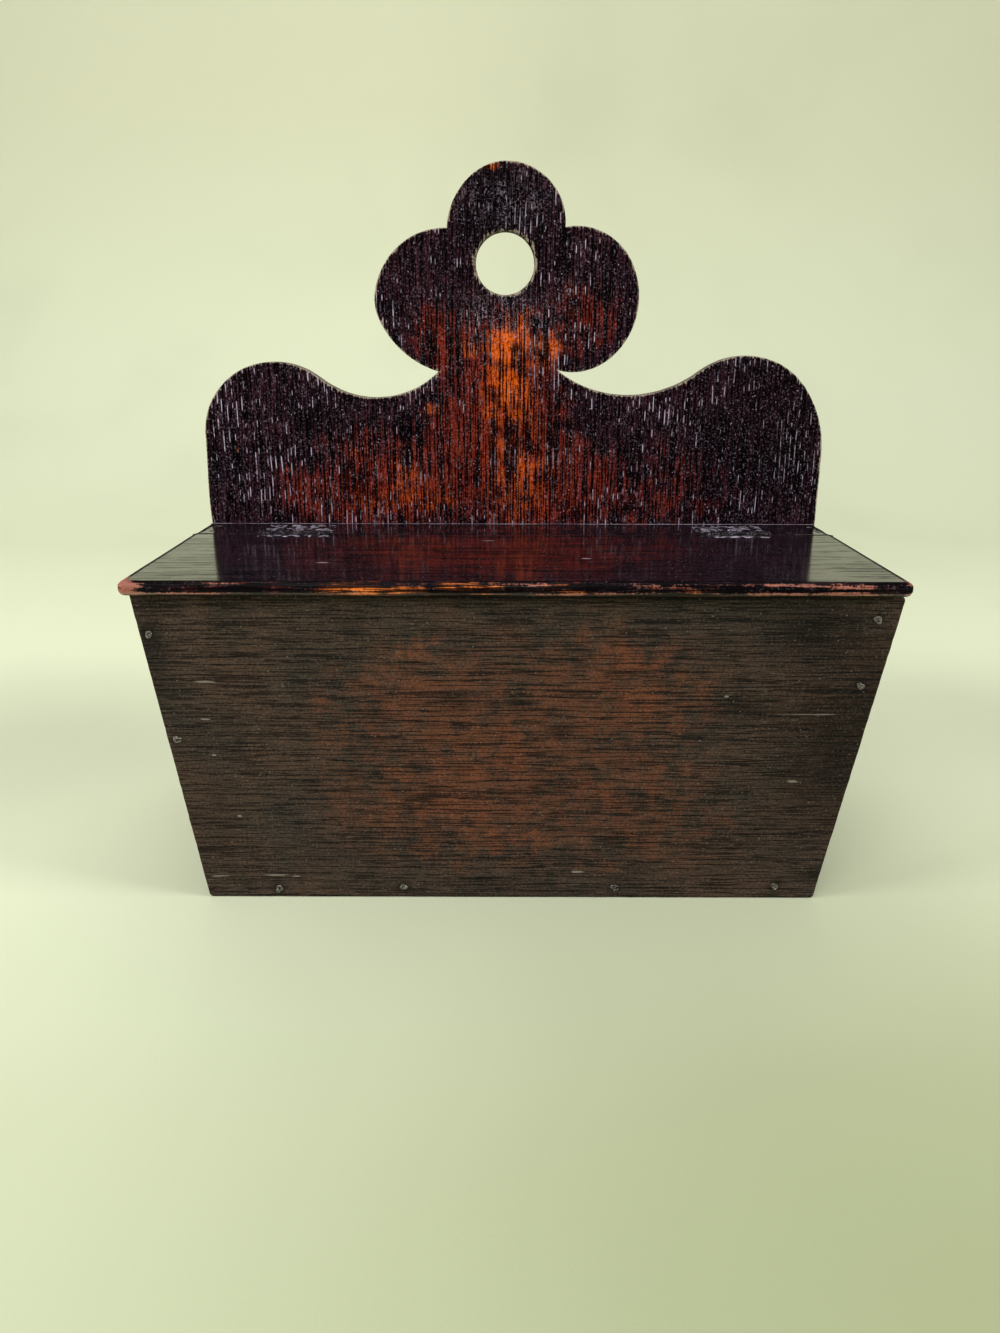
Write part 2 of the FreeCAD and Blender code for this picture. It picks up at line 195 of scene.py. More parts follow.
class NodeShop:
    """Makes the nodes of one material or world."""

    def __init__(self, owner: bpy.types.Material | bpy.types.World) -> None:
        """Empty the owner's node tree, ready for new nodes."""
        owner.use_nodes = True
        self.tree = owner.node_tree
        self.tree.nodes.clear()

    def add(self, kind: str, settings: dict | None = None, inputs: dict | None = None,
            output: int | str = 0) -> Signal | None:
        """Add one node.

        Args:
            kind: Type name of the node.
            settings: Properties of the node, set before its sockets.
            inputs: Values or links by socket name or number.
            output: Name or number of the output that is wanted.

        Returns:
            The wanted output, or None from a node that has no outputs.
        """
        node = self.tree.nodes.new(kind)
        for name, value in (settings or {}).items():
            setattr(node, name, value)
        for name, value in (inputs or {}).items():
            if isinstance(value, Signal):
                self.tree.links.new(value.socket, node.inputs[name])
            else:
                node.inputs[name].default_value = value
        return Signal(self, node.outputs[output]) if node.outputs else None

    def millimetres(self) -> Signal:
        """Place on the piece as a vector in millimetres."""
        place = self.add("ShaderNodeTexCoord", output="Object")
        return self.scaled(place, (1 / MM, 1 / MM, 1 / MM))

    def scaled(self, vector: Signal, scale: Span, shift: Span = UNMOVED) -> Signal:
        """Vector times one constant vector, plus another."""
        inputs = {0: vector, 1: scale, 2: shift}
        return self.add("ShaderNodeVectorMath", {"operation": "MULTIPLY_ADD"}, inputs)

    def part(self, vector: Signal, axis: Axis) -> Signal:
        """One coordinate of a vector."""
        return self.add("ShaderNodeSeparateXYZ", None, {0: vector}, axis.value)

    def noise(self, vector: Signal, detail: float = 2.0, roughness: float = 0.5,
              twist: float = 0.0) -> Signal:
        """Smooth noise with one lump to each unit of the vector.

        Args:
            vector: Where it is read.
            detail: Number of finer layers.
            roughness: Strength of the finer layers.
            twist: Distortion.

        Returns:
            Value round 0.5.
        """
        inputs = {"Vector": vector, "Scale": 1.0, "Detail": detail, "Roughness": roughness,
                  "Distortion": twist}
        return self.add("ShaderNodeTexNoise", {"noise_dimensions": "3D"}, inputs)

    def lumps(self, place: Signal, rate: float, *layers: float, shift: Span = UNMOVED) -> Signal:
        """Noise with this many lumps to a millimetre, and its detail, roughness and twist."""
        return self.noise(self.scaled(place, (rate, rate, rate), shift), *layers)

    def specks(self, vector: Signal) -> Signal:
        """Distance to the nearest of many scattered points, about one to each unit cube."""
        inputs = {"Vector": vector, "Scale": 1.0, "Randomness": 1.0}
        return self.add("ShaderNodeTexVoronoi", {"feature": "F1"}, inputs, "Distance")

    def toss(self, number: Signal) -> Signal:
        """Random value from 0 to 1 for each whole number."""
        return self.add("ShaderNodeTexWhiteNoise", {"noise_dimensions": "1D"}, {"W": number}, "Value")

    def facing(self, way: Way) -> Signal:
        """How much the surface faces a direction: 1 straight towards it, 0 square to it."""
        normal = self.add("ShaderNodeTexCoord", output="Normal")
        inputs = {0: normal, 1: way.value}
        return self.add("ShaderNodeVectorMath", {"operation": "DOT_PRODUCT"}, inputs, "Value")

    def attribute(self, name: str) -> Signal:
        """Value that the mesh holds at each vertex."""
        return self.add("ShaderNodeAttribute", {"attribute_name": name}, None, "Fac")

    def mix(self, first: Signal | Colour, second: Signal | Colour, share: Signal | float) -> Signal:
        """Colour that is the first at share 0 and the second at share 1."""
        inputs = {0: share, 6: first, 7: second}
        return self.add("ShaderNodeMix", {"data_type": "RGBA", "clamp_factor": True}, inputs, 2)

    def darker(self, colour: Signal | Colour, share: Signal | float) -> Signal:
        """Colour brought towards black."""
        return self.mix(colour, BLACK, share)

    def spots(self, place: Signal, flat: tuple[Axis, Axis], patches: Sequence[Patch]) -> Signal | float:
        """Soft round places added up.

        Args:
            place: Place on the piece in millimetres.
            flat: The two directions that the patches are laid out in.
            patches: The places.

        Returns:
            Strength, from 0 outside them all.
        """
        total = 0.0
        for patch in patches:
            scale = [0.0, 0.0, 0.0]
            shift = [0.0, 0.0, 0.0]
            spans = ((patch.across, patch.half_width), (patch.up, patch.half_height))
            for axis, (centre, reach) in zip(flat, spans):
                scale[axis.value] = 1 / reach
                shift[axis.value] = -centre / reach
            inputs = {0: self.scaled(place, tuple(scale), tuple(shift))}
            away = self.add("ShaderNodeVectorMath", {"operation": "LENGTH"}, inputs, "Value")
            total = away.step(1.0, 0.0) * patch.strength + total
        return total

    def surface(self, inputs: dict, height: Signal | None = None, depth: float = 0.0) -> None:
        """Finish the material with one Principled shader.

        Args:
            inputs: Its socket values and links.
            height: Fine relief for its normal.
            depth: Size of that relief in millimetres.
        """
        if height is not None:
            relief = {"Height": height, "Strength": 1.0, "Distance": depth * MM}
            inputs = {**inputs, "Normal": self.add("ShaderNodeBump", None, relief)}
        shader = self.add("ShaderNodeBsdfPrincipled", None, inputs)
        self.add("ShaderNodeOutputMaterial", None, {"Surface": shader})


@dataclass(frozen=True)
class Grain:
    """What an oak finish reads from its board: noises, pore lines, patches and worn edges."""

    shop: NodeShop
    place: Signal
    cloud: Signal
    mottle: Signal
    grit: Signal
    line: Signal
    fibre: Signal
    pores: Signal
    groove: Signal
    thread: Signal
    run: Signal
    bit: Signal
    warm: Signal | float
    lit: Signal | float
    # Dark patches: stains and painted shade, such as the shadow under the lid.
    darkening: Signal | float
    edge: Signal
    rounded: Signal


@dataclass(frozen=True)
class OakFinish:
    """Old oak: its colours, its grain and how it is worn and polished. Sizes are millimetres."""

    RAW_BORDER = 1.0

    name: str
    grain: Axis
    flat: tuple[Axis, Axis]
    body: Colour
    shade: Colour
    warm: Colour
    glow: Colour
    pore: Colour
    fleck_and_glint: Colour
    rim: Colour
    raw: Colour = tone(92, 69, 50)
    raw_shade: Colour = tone(62, 46, 35)
    raw_side: Way | None = None
    raw_below: float | None = None
    warm_patches: tuple[Patch, ...] = ()
    glow_patches: tuple[Patch, ...] = ()
    dark_patches: tuple[Patch, ...] = ()
    bare_patches: tuple[Patch, ...] = ()
    scuffs_and_highlights: tuple[Patch, ...] = ()
    hairs: tuple[Patch, ...] = ()
    rim_patches: tuple[Patch, ...] = ()
    line_width: float = 0.9
    line_length: float = 34.0
    line_cover: float = 0.5
    line_contrast: float = 0.8
    line_depth: float = 0.06
    raggedness: float = 1.4
    dash_gap: float = 3.3
    dash_width: float = 0.75
    dash_length: float = 11.0
    dash_cover: float = 0.5
    dash_contrast: float = 0.6
    fleck_cover: float = 0.62
    fleck_strength: float = 0.8
    crowding: float = 0.5
    short_run: float = 1.0
    grit: float = 0.6
    grit_light: float = 0.35
    speck: float = 0.5
    rim_strength: float = 0.5
    rim_level: float = 0.75
    rim_dark: float = 0.0
    dust_and_highlight: float = 0.0
    roughness: float = 0.4
    roughness_swing: float = 0.2
    specular: float = 0.2
    coat: float = 0.0
    coat_roughness: float = 0.08
    coat_ior: float = 1.5
    raw_roughness: float = 0.75
    seed: float = 0.0

    def _along(self, width: float, length: float) -> Span:
        """Scale that gives noise lumps of this width and length along the grain."""
        scale = [1 / width] * 3
        scale[self.grain.value] = 1 / length
        return tuple(scale)

    def _grained(self, shop: NodeShop, place: Signal, width: float, length: float, turn: float,
                 detail: float = 2.0) -> Signal:
        """Noise drawn out along the grain.

        Args:
            shop: Maker of the nodes.
            place: Place in millimetres.
            width: Width of a streak.
            length: Length of a streak.
            turn: Shift that keeps one use apart from the next.
            detail: Number of finer layers.

        Returns:
            Value round 0.5.
        """
        shift = (self.seed + turn, turn * 1.7, self.seed - turn)
        return shop.noise(shop.scaled(place, self._along(width, length), shift), detail, 0.55)

    def _worn(self, shop: NodeShop, place: Signal, patches: tuple[Patch, ...],
              ragged: Signal) -> Signal | float:
        """Share of wear in some patches, with ragged borders.

        Args:
            shop: Maker of the nodes.
            place: Place in millimetres.
            patches: The patches.
            ragged: Value round 0 that breaks up their borders.

        Returns:
            Value from 0 to 1.
        """
        if not patches:
            return 0.0
        plain = shop.spots(place, self.flat, patches)
        return (plain + ragged * (plain * 4.0).least(1.0)).step(0.05, 1.15)

    def _dashes(self, shop: NodeShop, place: Signal) -> tuple[Signal, Signal, Signal, Signal]:
        """Straight pore lines at uneven distances.

        Args:
            shop: Maker of the nodes.
            place: Place in millimetres.

        Returns:
            1 on a line and 0 beside it, the same for a thinner line, and two values round 0.5 that
            change along each line, the second in shorter steps.
        """
        weights = [1.0, 0.62, 1.0]
        weights[self.grain.value] = 0.0
        inputs = {0: place, 1: tuple(weights)}
        across = shop.add("ShaderNodeVectorMath", {"operation": "DOT_PRODUCT"}, inputs, "Value")
        sway = shop.noise(shop.scaled(place, self._along(11, 70), (self.seed, 6.0, 1.0)), 1.0)
        across = across * (1 / self.dash_gap) + (sway - 0.5) * 1.6
        cell = across.floor()
        away = abs(across - cell - shop.toss(cell + self.seed) * 0.6 - 0.2)
        along = shop.part(place, self.grain) * (1 / self.dash_length)
        track = shop.add("ShaderNodeCombineXYZ", None, {0: cell * 3.37, 1: along, 2: self.seed})
        half = self.dash_width / self.dash_gap / 2
        groove = away.step(half * 1.3, half * 0.6)
        thread = away.step(half * 0.95, half * 0.4)
        short = shop.scaled(track, (1.7, self.short_run, 1.0), (5.0, 3.0, 1.0))
        return groove, thread, shop.noise(track, 2.0, 0.6), shop.noise(short, 2.0, 0.6)

    def _read(self, shop: NodeShop) -> Grain:
        """Read the noises, pore lines, patches and edges of the board.

        Args:
            shop: Maker of the nodes.

        Returns:
            All of them, with the pores and pore lines cleared from the bare patches.
        """
        place = shop.millimetres()
        cloud = shop.lumps(place, 0.022, 3.0, 0.6, shift=(self.seed, 4.0, self.seed))
        mottle = shop.lumps(place, 0.11, 4.0, 0.65, shift=(self.seed, 9.0, 2.0))
        grit = shop.lumps(place, 0.8, 2.0, 0.7, shift=(2.0, 5.0, self.seed))
        line = self._grained(shop, place, self.line_width, self.line_length, 3.1, 1.0)
        fibre = self._grained(shop, place, 0.45, 9.0, 7.7)
        valley = line + (fibre - 0.5) * 0.25 + (mottle - 0.5) * 0.3
        pores = valley.step(self.line_cover + 0.03, self.line_cover - 0.05)
        groove, thread, run, bit = self._dashes(shop, place)
        if self.bare_patches:
            kept = 1 - self._worn(shop, place, self.bare_patches, (mottle - 0.5) * 1.2)
            pores, groove, thread = pores * kept, groove * kept, thread * kept
        ragged = (mottle - 0.5) * self.raggedness * 2.0 + (line - 0.5) * self.raggedness * 0.7
        blotchy = (mottle - 0.5) * 0.9 + (fibre - 0.5) * 0.3
        warm = self._worn(shop, place, self.warm_patches, ragged)
        lit = self._worn(shop, place, self.glow_patches, ragged)
        # The dark patches hold stains and also painted shade, such as the shadow under the lid.
        darkening = self._worn(shop, place, self.dark_patches, blotchy)
        edge = shop.attribute("edge")
        return Grain(shop, place, cloud, mottle, grit, line, fibre, pores, groove, thread, run, bit,
                     warm, lit, darkening, edge, edge.step(0.3, 0.5))

    def _stained(self, grain: Grain) -> Signal:
        """Colour of the wood with its patches, pores, pore lines and grit; the dark patches include painted shade.

        Args:
            grain: What was read from the board.

        Returns:
            The colour.
        """
        shop = grain.shop
        blend = (grain.cloud * 0.5 + grain.fibre * 0.3 + grain.mottle * 0.2).step(0.4, 0.6)
        colour = shop.mix(self.shade, self.body, blend)
        colour = shop.mix(colour, self.warm, grain.warm)
        colour = shop.mix(colour, self.glow, grain.lit)
        colour = shop.mix(colour, self.pore, grain.pores * self.line_contrast)
        colour = shop.darker(colour, (0.46 - grain.fibre).step(0.0, 0.1) * 0.35)
        dark = grain.groove * grain.run.step(self.dash_cover, self.dash_cover + 0.04)
        colour = shop.mix(colour, self.pore, dark * self.dash_contrast)
        colour = shop.mix(colour, self.pore, grain.darkening * 0.85)
        colour = shop.darker(colour, (0.52 - grain.grit).step(0.0, 0.2) * self.grit)
        pale = (grain.grit * 0.7 + grain.fibre * 0.3 - 0.54).step(0.0, 0.14)
        return shop.mix(colour, self.fleck_and_glint, pale * self.grit_light)

    def _flecked(self, grain: Grain, colour: Signal) -> Signal:
        """Add the pale flecks along the pore lines (wax and dust in the pores, with painted glints off their
        edges), the specks, the scuffs and the scratches; some scuffs are painted highlights.

        Args:
            grain: What was read from the board.
            colour: Colour so far.

        Returns:
            The new colour.
        """
        shop = grain.shop
        # Flecks along the pore lines: wax and dust in the pores, and painted glints off their edges.
        crowd = shop.lumps(grain.place, 0.035, 3.0, 0.6, shift=(self.seed, 1.0, 31.0))
        filled = (grain.bit - self.fleck_cover - (0.5 - crowd) * self.crowding).step(0.0, 0.13)
        fleck_and_glint = grain.thread * filled * (grain.grit * 0.5 + grain.fibre * 0.5).step(0.3, 0.48)
        for share, hold in ((grain.lit, 0.85), (grain.warm, 0.4), (grain.darkening, 0.75)):
            fleck_and_glint = fleck_and_glint * (1 - share * hold)
        colour = shop.mix(colour, self.fleck_and_glint, fleck_and_glint * self.fleck_strength)
        scattered = shop.scaled(grain.place, (0.2, 0.2, 0.2), (self.seed, 2.0, 3.0))
        colour = shop.mix(colour, self.fleck_and_glint, shop.specks(scattered).step(0.085, 0.055) * self.speck)
        return shop.mix(colour, self.fleck_and_glint, self._marks(grain) * 0.8)

    def _marks(self, grain: Grain) -> Signal | float:
        """Pale scuffs, some of them painted highlights, and hair-like scratches that wander within their patches.

        Args:
            grain: What was read from the board.

        Returns:
            Strength of the marks, 0 on a board that has none.
        """
        shop = grain.shop
        marks = 0.0
        if self.scuffs_and_highlights:
            scuffed_and_lit = shop.spots(grain.place, self.flat, self.scuffs_and_highlights) * 1.6
            marks = (scuffed_and_lit + (grain.fibre - 0.5) * 2.2).step(0.45, 0.9)
        if self.hairs:
            winding = shop.lumps(grain.place, 0.16, 1.5, 0.6, 0.8, shift=(self.seed, 3.0, 5.0))
            other = shop.lumps(grain.place, 0.24, 1.5, 0.6, 0.8, shift=(8.0, self.seed, 2.0))
            thin = abs(winding - 0.5).least(abs(other - 0.5)).step(0.012, 0.004)
            near = shop.spots(grain.place, self.flat, self.hairs).least(1.0)
            marks = thin * near * grain.fibre.step(0.4, 0.6) * 0.7 + marks
        return marks

    def _edged(self, grain: Grain, colour: Signal) -> Signal:
        """Add the dark streaks of a nose, the rubbed rims, which are partly painted highlight and sheen, the dust
        and painted highlight on up-facing edges, and the dents.

        Args:
            grain: What was read from the board.
            colour: Colour so far.

        Returns:
            The new colour.
        """
        shop = grain.shop
        if self.rim_dark:
            streak = self._grained(shop, grain.place, 1.0, 30.0, 21.0)
            colour = shop.mix(colour, self.pore, streak.step(0.57, 0.49) * grain.rounded * self.rim_dark)
        broken = (grain.mottle - 0.5) * 1.4 + (grain.line - 0.5) * 2.2
        broken = broken + (grain.grit - 0.5) * 1.2 + (grain.fibre - 0.5) * 0.8
        broken = broken + shop.spots(grain.place, self.flat, self.rim_patches)
        # Rubbed rims, partly painted edge highlight and sheen.
        chafe_and_sheen = (grain.edge + broken).step(self.rim_level, self.rim_level + 0.4)
        colour = shop.mix(colour, self.rim, chafe_and_sheen * grain.rounded * self.rim_strength)
        if self.dust_and_highlight:
            # Pale on up-facing edges: partly dust, partly a painted highlight from the light above.
            upward = shop.facing(Way.UP).step(0.35, 0.85)
            uneven = 0.5 + (grain.fibre + grain.mottle - 1.0) * 1.2
            settled = upward * grain.edge.step(0.2, 0.28) * uneven
            colour = shop.mix(colour, self.rim, settled * self.dust_and_highlight)
        return shop.mix(colour, self.pore, shop.attribute("dent") * 0.8)

    def _raw_share(self, grain: Grain) -> Signal | float:
        """Say where the wood was never finished.

        Args:
            grain: What was read from the board.

        Returns:
            1 on the raw side and below the raw level, 0 elsewhere.
        """
        raw = grain.shop.facing(self.raw_side).step(0.55, 0.95) if self.raw_side else 0.0
        if self.raw_below is not None:
            level = grain.shop.part(grain.place, Axis.Z)
            raw = level.step(self.raw_below, self.raw_below - self.RAW_BORDER).most(raw)
        return raw

    def _bared(self, grain: Grain, colour: Signal, raw: Signal | float) -> Signal:
        """Show raw wood in place of the finish.

        Args:
            grain: What was read from the board.
            colour: Colour of the finish.
            raw: Share of raw wood.

        Returns:
            The new colour.
        """
        shop = grain.shop
        blend = (grain.cloud * 0.35 + grain.mottle * 0.2 + grain.fibre * 0.45).step(0.36, 0.64)
        plain = shop.mix(shop.mix(self.raw_shade, self.raw, blend), self.pore, grain.pores * 0.45)
        return shop.mix(colour, shop.darker(plain, (0.5 - grain.grit).step(0.0, 0.25) * 0.5), raw)

    def make(self) -> bpy.types.Material:
        """Build the material.

        Returns:
            The finished material.
        """
        material = bpy.data.materials.new(self.name)
        shop = NodeShop(material)
        grain = self._read(shop)
        raw = self._raw_share(grain)
        colour = self._edged(grain, self._flecked(grain, self._stained(grain)))
        rough = self.roughness + (grain.fibre - 0.5) * self.roughness_swing + grain.pores * 0.12
        inputs = {
            "Base Color": self._bared(grain, colour, raw),
            "Roughness": rough + (self.raw_roughness - rough) * raw,
            "Specular IOR Level": self.specular,
        }
        if self.coat:
            under = shop.facing(Way.DOWN).step(0.2, 0.5)
            gloss = (1 - grain.pores * 0.5) * (1 - grain.rounded * (1 - under) * 0.92)
            inputs["Coat Weight"] = gloss * self.coat * (1 - raw)
            inputs["Coat Roughness"] = self.coat_roughness
            inputs["Coat IOR"] = self.coat_ior
        fine = grain.fibre * 0.35 + grain.grit * 0.15 + grain.line * 0.5
        shop.surface(inputs, fine - grain.pores * 0.4 - grain.groove * 0.4, self.line_depth)
        return material


@dataclass(frozen=True)
class IronFinish:
    """Forged iron gone dark, with brighter ridges where it is rubbed that also carry painted highlights, painted
    brightest on faces towards the front.
    """

    SHADED = 0.7

    name: str
    bright: Colour
    dark: Colour
    rust: Colour
    lump: float = 1.6
    rub: float = 0.55
    metal: float = 0.2
    roughness: float = 0.4
    specular: float = 0.1
    pit_depth: float = 0.12

    def make(self) -> bpy.types.Material:
        """Build the material.

        Returns:
            The finished material.
        """
        material = bpy.data.materials.new(self.name)
        shop = NodeShop(material)
        place = shop.millimetres()
        size = 1 / self.lump
        crumple = shop.noise(shop.scaled(place, (size * 0.5, size, size)), 3.0, 0.6, 0.8)
        pits = shop.noise(shop.scaled(place, (1.8, 2.4, 2.4)), 2.0, 0.6)
        patches = shop.lumps(place, 0.16, 2.0, 0.5)
        # Ridge tops, the hinge's front lip and nail crowns, partly painted highlight.
        raised_and_lit = shop.attribute("raised_and_lit")
        crease = abs(crumple - 0.5).step(0.07, 0.0)
        wear = crease * 0.35 + raised_and_lit * 0.8 + (pits - 0.5) * 1.2 + (patches - 0.5) * 0.6
        # Painted light: the rubbed ridges and their highlights are full on faces towards the front and kept to
        # SHADED elsewhere.
        slope = shop.facing(Way.FRONT).step(0.02, 0.35)
        rubbed_and_lit = wear.step(self.rub, self.rub + 0.3) * (self.SHADED + (1 - self.SHADED) * slope)
        colour = shop.mix(self.dark, self.bright, rubbed_and_lit)
        colour = shop.mix(colour, self.rust, (patches * 0.6 + pits * 0.5).step(0.56, 0.7) * 0.5)
        colour = shop.darker(colour, (0.54 - pits).step(0.0, 0.16) * 0.9)
        rough = self.roughness + (0.5 - rubbed_and_lit) * 0.2 + (pits - 0.5) * 0.2
        height = crease * -0.5 + crumple * 0.8 + pits * 0.3
        inputs = {"Base Color": colour, "Roughness": rough, "Metallic": self.metal,
                  "Specular IOR Level": self.specular}
        shop.surface(inputs, height, self.pit_depth)
        return material


@dataclass(frozen=True)
class PaperFinish:
    """Pale paper of the floor and backdrop, with painted shade: darker towards the right, the front and the top,
    and painted soft shadows beside the box.
    """

    name: str = "pale_paper"
    far: tuple[Colour, Colour] = (tone(231, 236, 207), tone(222, 227, 199))
    near: tuple[Colour, Colour] = (tone(207, 214, 181), tone(168, 175, 136))
    high: tuple[Colour, Colour] = (tone(223, 224, 196), tone(217, 218, 190))
    sides: tuple[float, float] = (-260.0, 160.0)
    depths: tuple[float, float] = (-330.0, 120.0)
    heights: tuple[float, float] = (150.0, 800.0)
    painted_shadows: tuple[Patch, ...] = patch_list((-400, 130, 330, 250), (410, 150, 330, 260))
    painted_shadow_strength: float = 0.18
    unevenness: float = 0.05
    roughness: float = 0.85
    specular: float = 0.1
    tooth_depth: float = 0.05

    def make(self) -> bpy.types.Material:
        """Build the material.

        Returns:
            The finished material.
        """
        material = bpy.data.materials.new(self.name)
        shop = NodeShop(material)
        place = shop.millimetres()
        drift = shop.lumps(place, 0.003, 2.0, 0.5)
        tooth = shop.lumps(place, 0.9, 3.0, 0.6)
        right = shop.part(place, Axis.X).step(*self.sides)
        depth = shop.part(place, Axis.Y).step(*self.depths)
        height = shop.part(place, Axis.Z).step(*self.heights)
        # Painted shade: the paper gets darker towards the right, the front and the top, as the light falls off.
        near, far, high = (shop.mix(*pair, right) for pair in (self.near, self.far, self.high))
        colour = shop.mix(shop.mix(near, far, depth), high, height)
        # Painted soft shadows beside the box, then the paper's own unevenness.
        shade = shop.spots(place, PLAN, self.painted_shadows) * self.painted_shadow_strength
        shade = shade + (drift - 0.45).step(0.0, 0.3) * self.unevenness
        shade = shade + (tooth - 0.5).step(0.0, 0.4) * self.unevenness
        inputs = {"Base Color": shop.darker(colour, shade), "Roughness": self.roughness,
                  "Specular IOR Level": self.specular}
        shop.surface(inputs, tooth, self.tooth_depth)
        return material


class Drift:
    """Smooth random field on a lattice, the same at every run."""

    SIZE = 256

    def __init__(self, seed: int, width: float, length: float) -> None:
        """Draw the lattice.

        Args:
            seed: Number that picks the field.
            width: Size of a lump in the first direction.
            length: Size of a lump in the second direction.
        """
        self.table = np.random.default_rng(seed).random((self.SIZE, self.SIZE))
        self.scale = (1 / width, 1 / length)

    def at(self, first: np.ndarray, second: np.ndarray) -> np.ndarray:
        """Read the field.

        Args:
            first: Coordinates in the first direction, in millimetres.
            second: Coordinates in the second direction.

        Returns:
            Value from 0 to 1 at each pair of coordinates.
        """
        steps = []
        for values, scale in zip((first, second), self.scale):
            grown = np.asarray(values, float) * scale + self.SIZE
            low = np.floor(grown).astype(int)
            share = grown - low
            steps.append((low % self.SIZE, (low + 1) % self.SIZE, share * share * (3 - 2 * share)))
        (a0, a1, s), (b0, b1, t) = steps
        near = self.table[a0, b0] * (1 - s) + self.table[a1, b0] * s
        far = self.table[a0, b1] * (1 - s) + self.table[a1, b1] * s
        return near * (1 - t) + far * t


def eased(values: np.ndarray, low: float, high: float) -> np.ndarray:
    """Rise smoothly from 0 at low to 1 at high."""
    share = np.clip((values - low) / (high - low), 0, 1)
    return share * share * (3 - 2 * share)


def node_points(node: str) -> np.ndarray:
    """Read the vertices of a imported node.

    Args:
        node: Name of the node.

    Returns:
        Points in millimetres.
    """
    mesh = frame["nodes"][node].data
    flat = np.zeros(len(mesh.vertices) * 3)
    mesh.vertices.foreach_get("co", flat)
    return flat.reshape(-1, 3) / MM


def welded(points: np.ndarray) -> tuple[np.ndarray, list[int]]:
    """Make one place of vertices that lie together.

    Args:
        points: Points in millimetres.

    Returns:
        The separate places, and the number of its place for each point.
    """
    known: dict[tuple, int] = {}
    numbers = [known.setdefault(tuple(np.round(point, 2)), len(known)) for point in points]
    return np.array(list(known)), numbers


def node_box(node: str) -> tuple[np.ndarray, np.ndarray]:
    """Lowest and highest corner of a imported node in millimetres."""
    low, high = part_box(node)
    return np.array(low) / MM, np.array(high) / MM


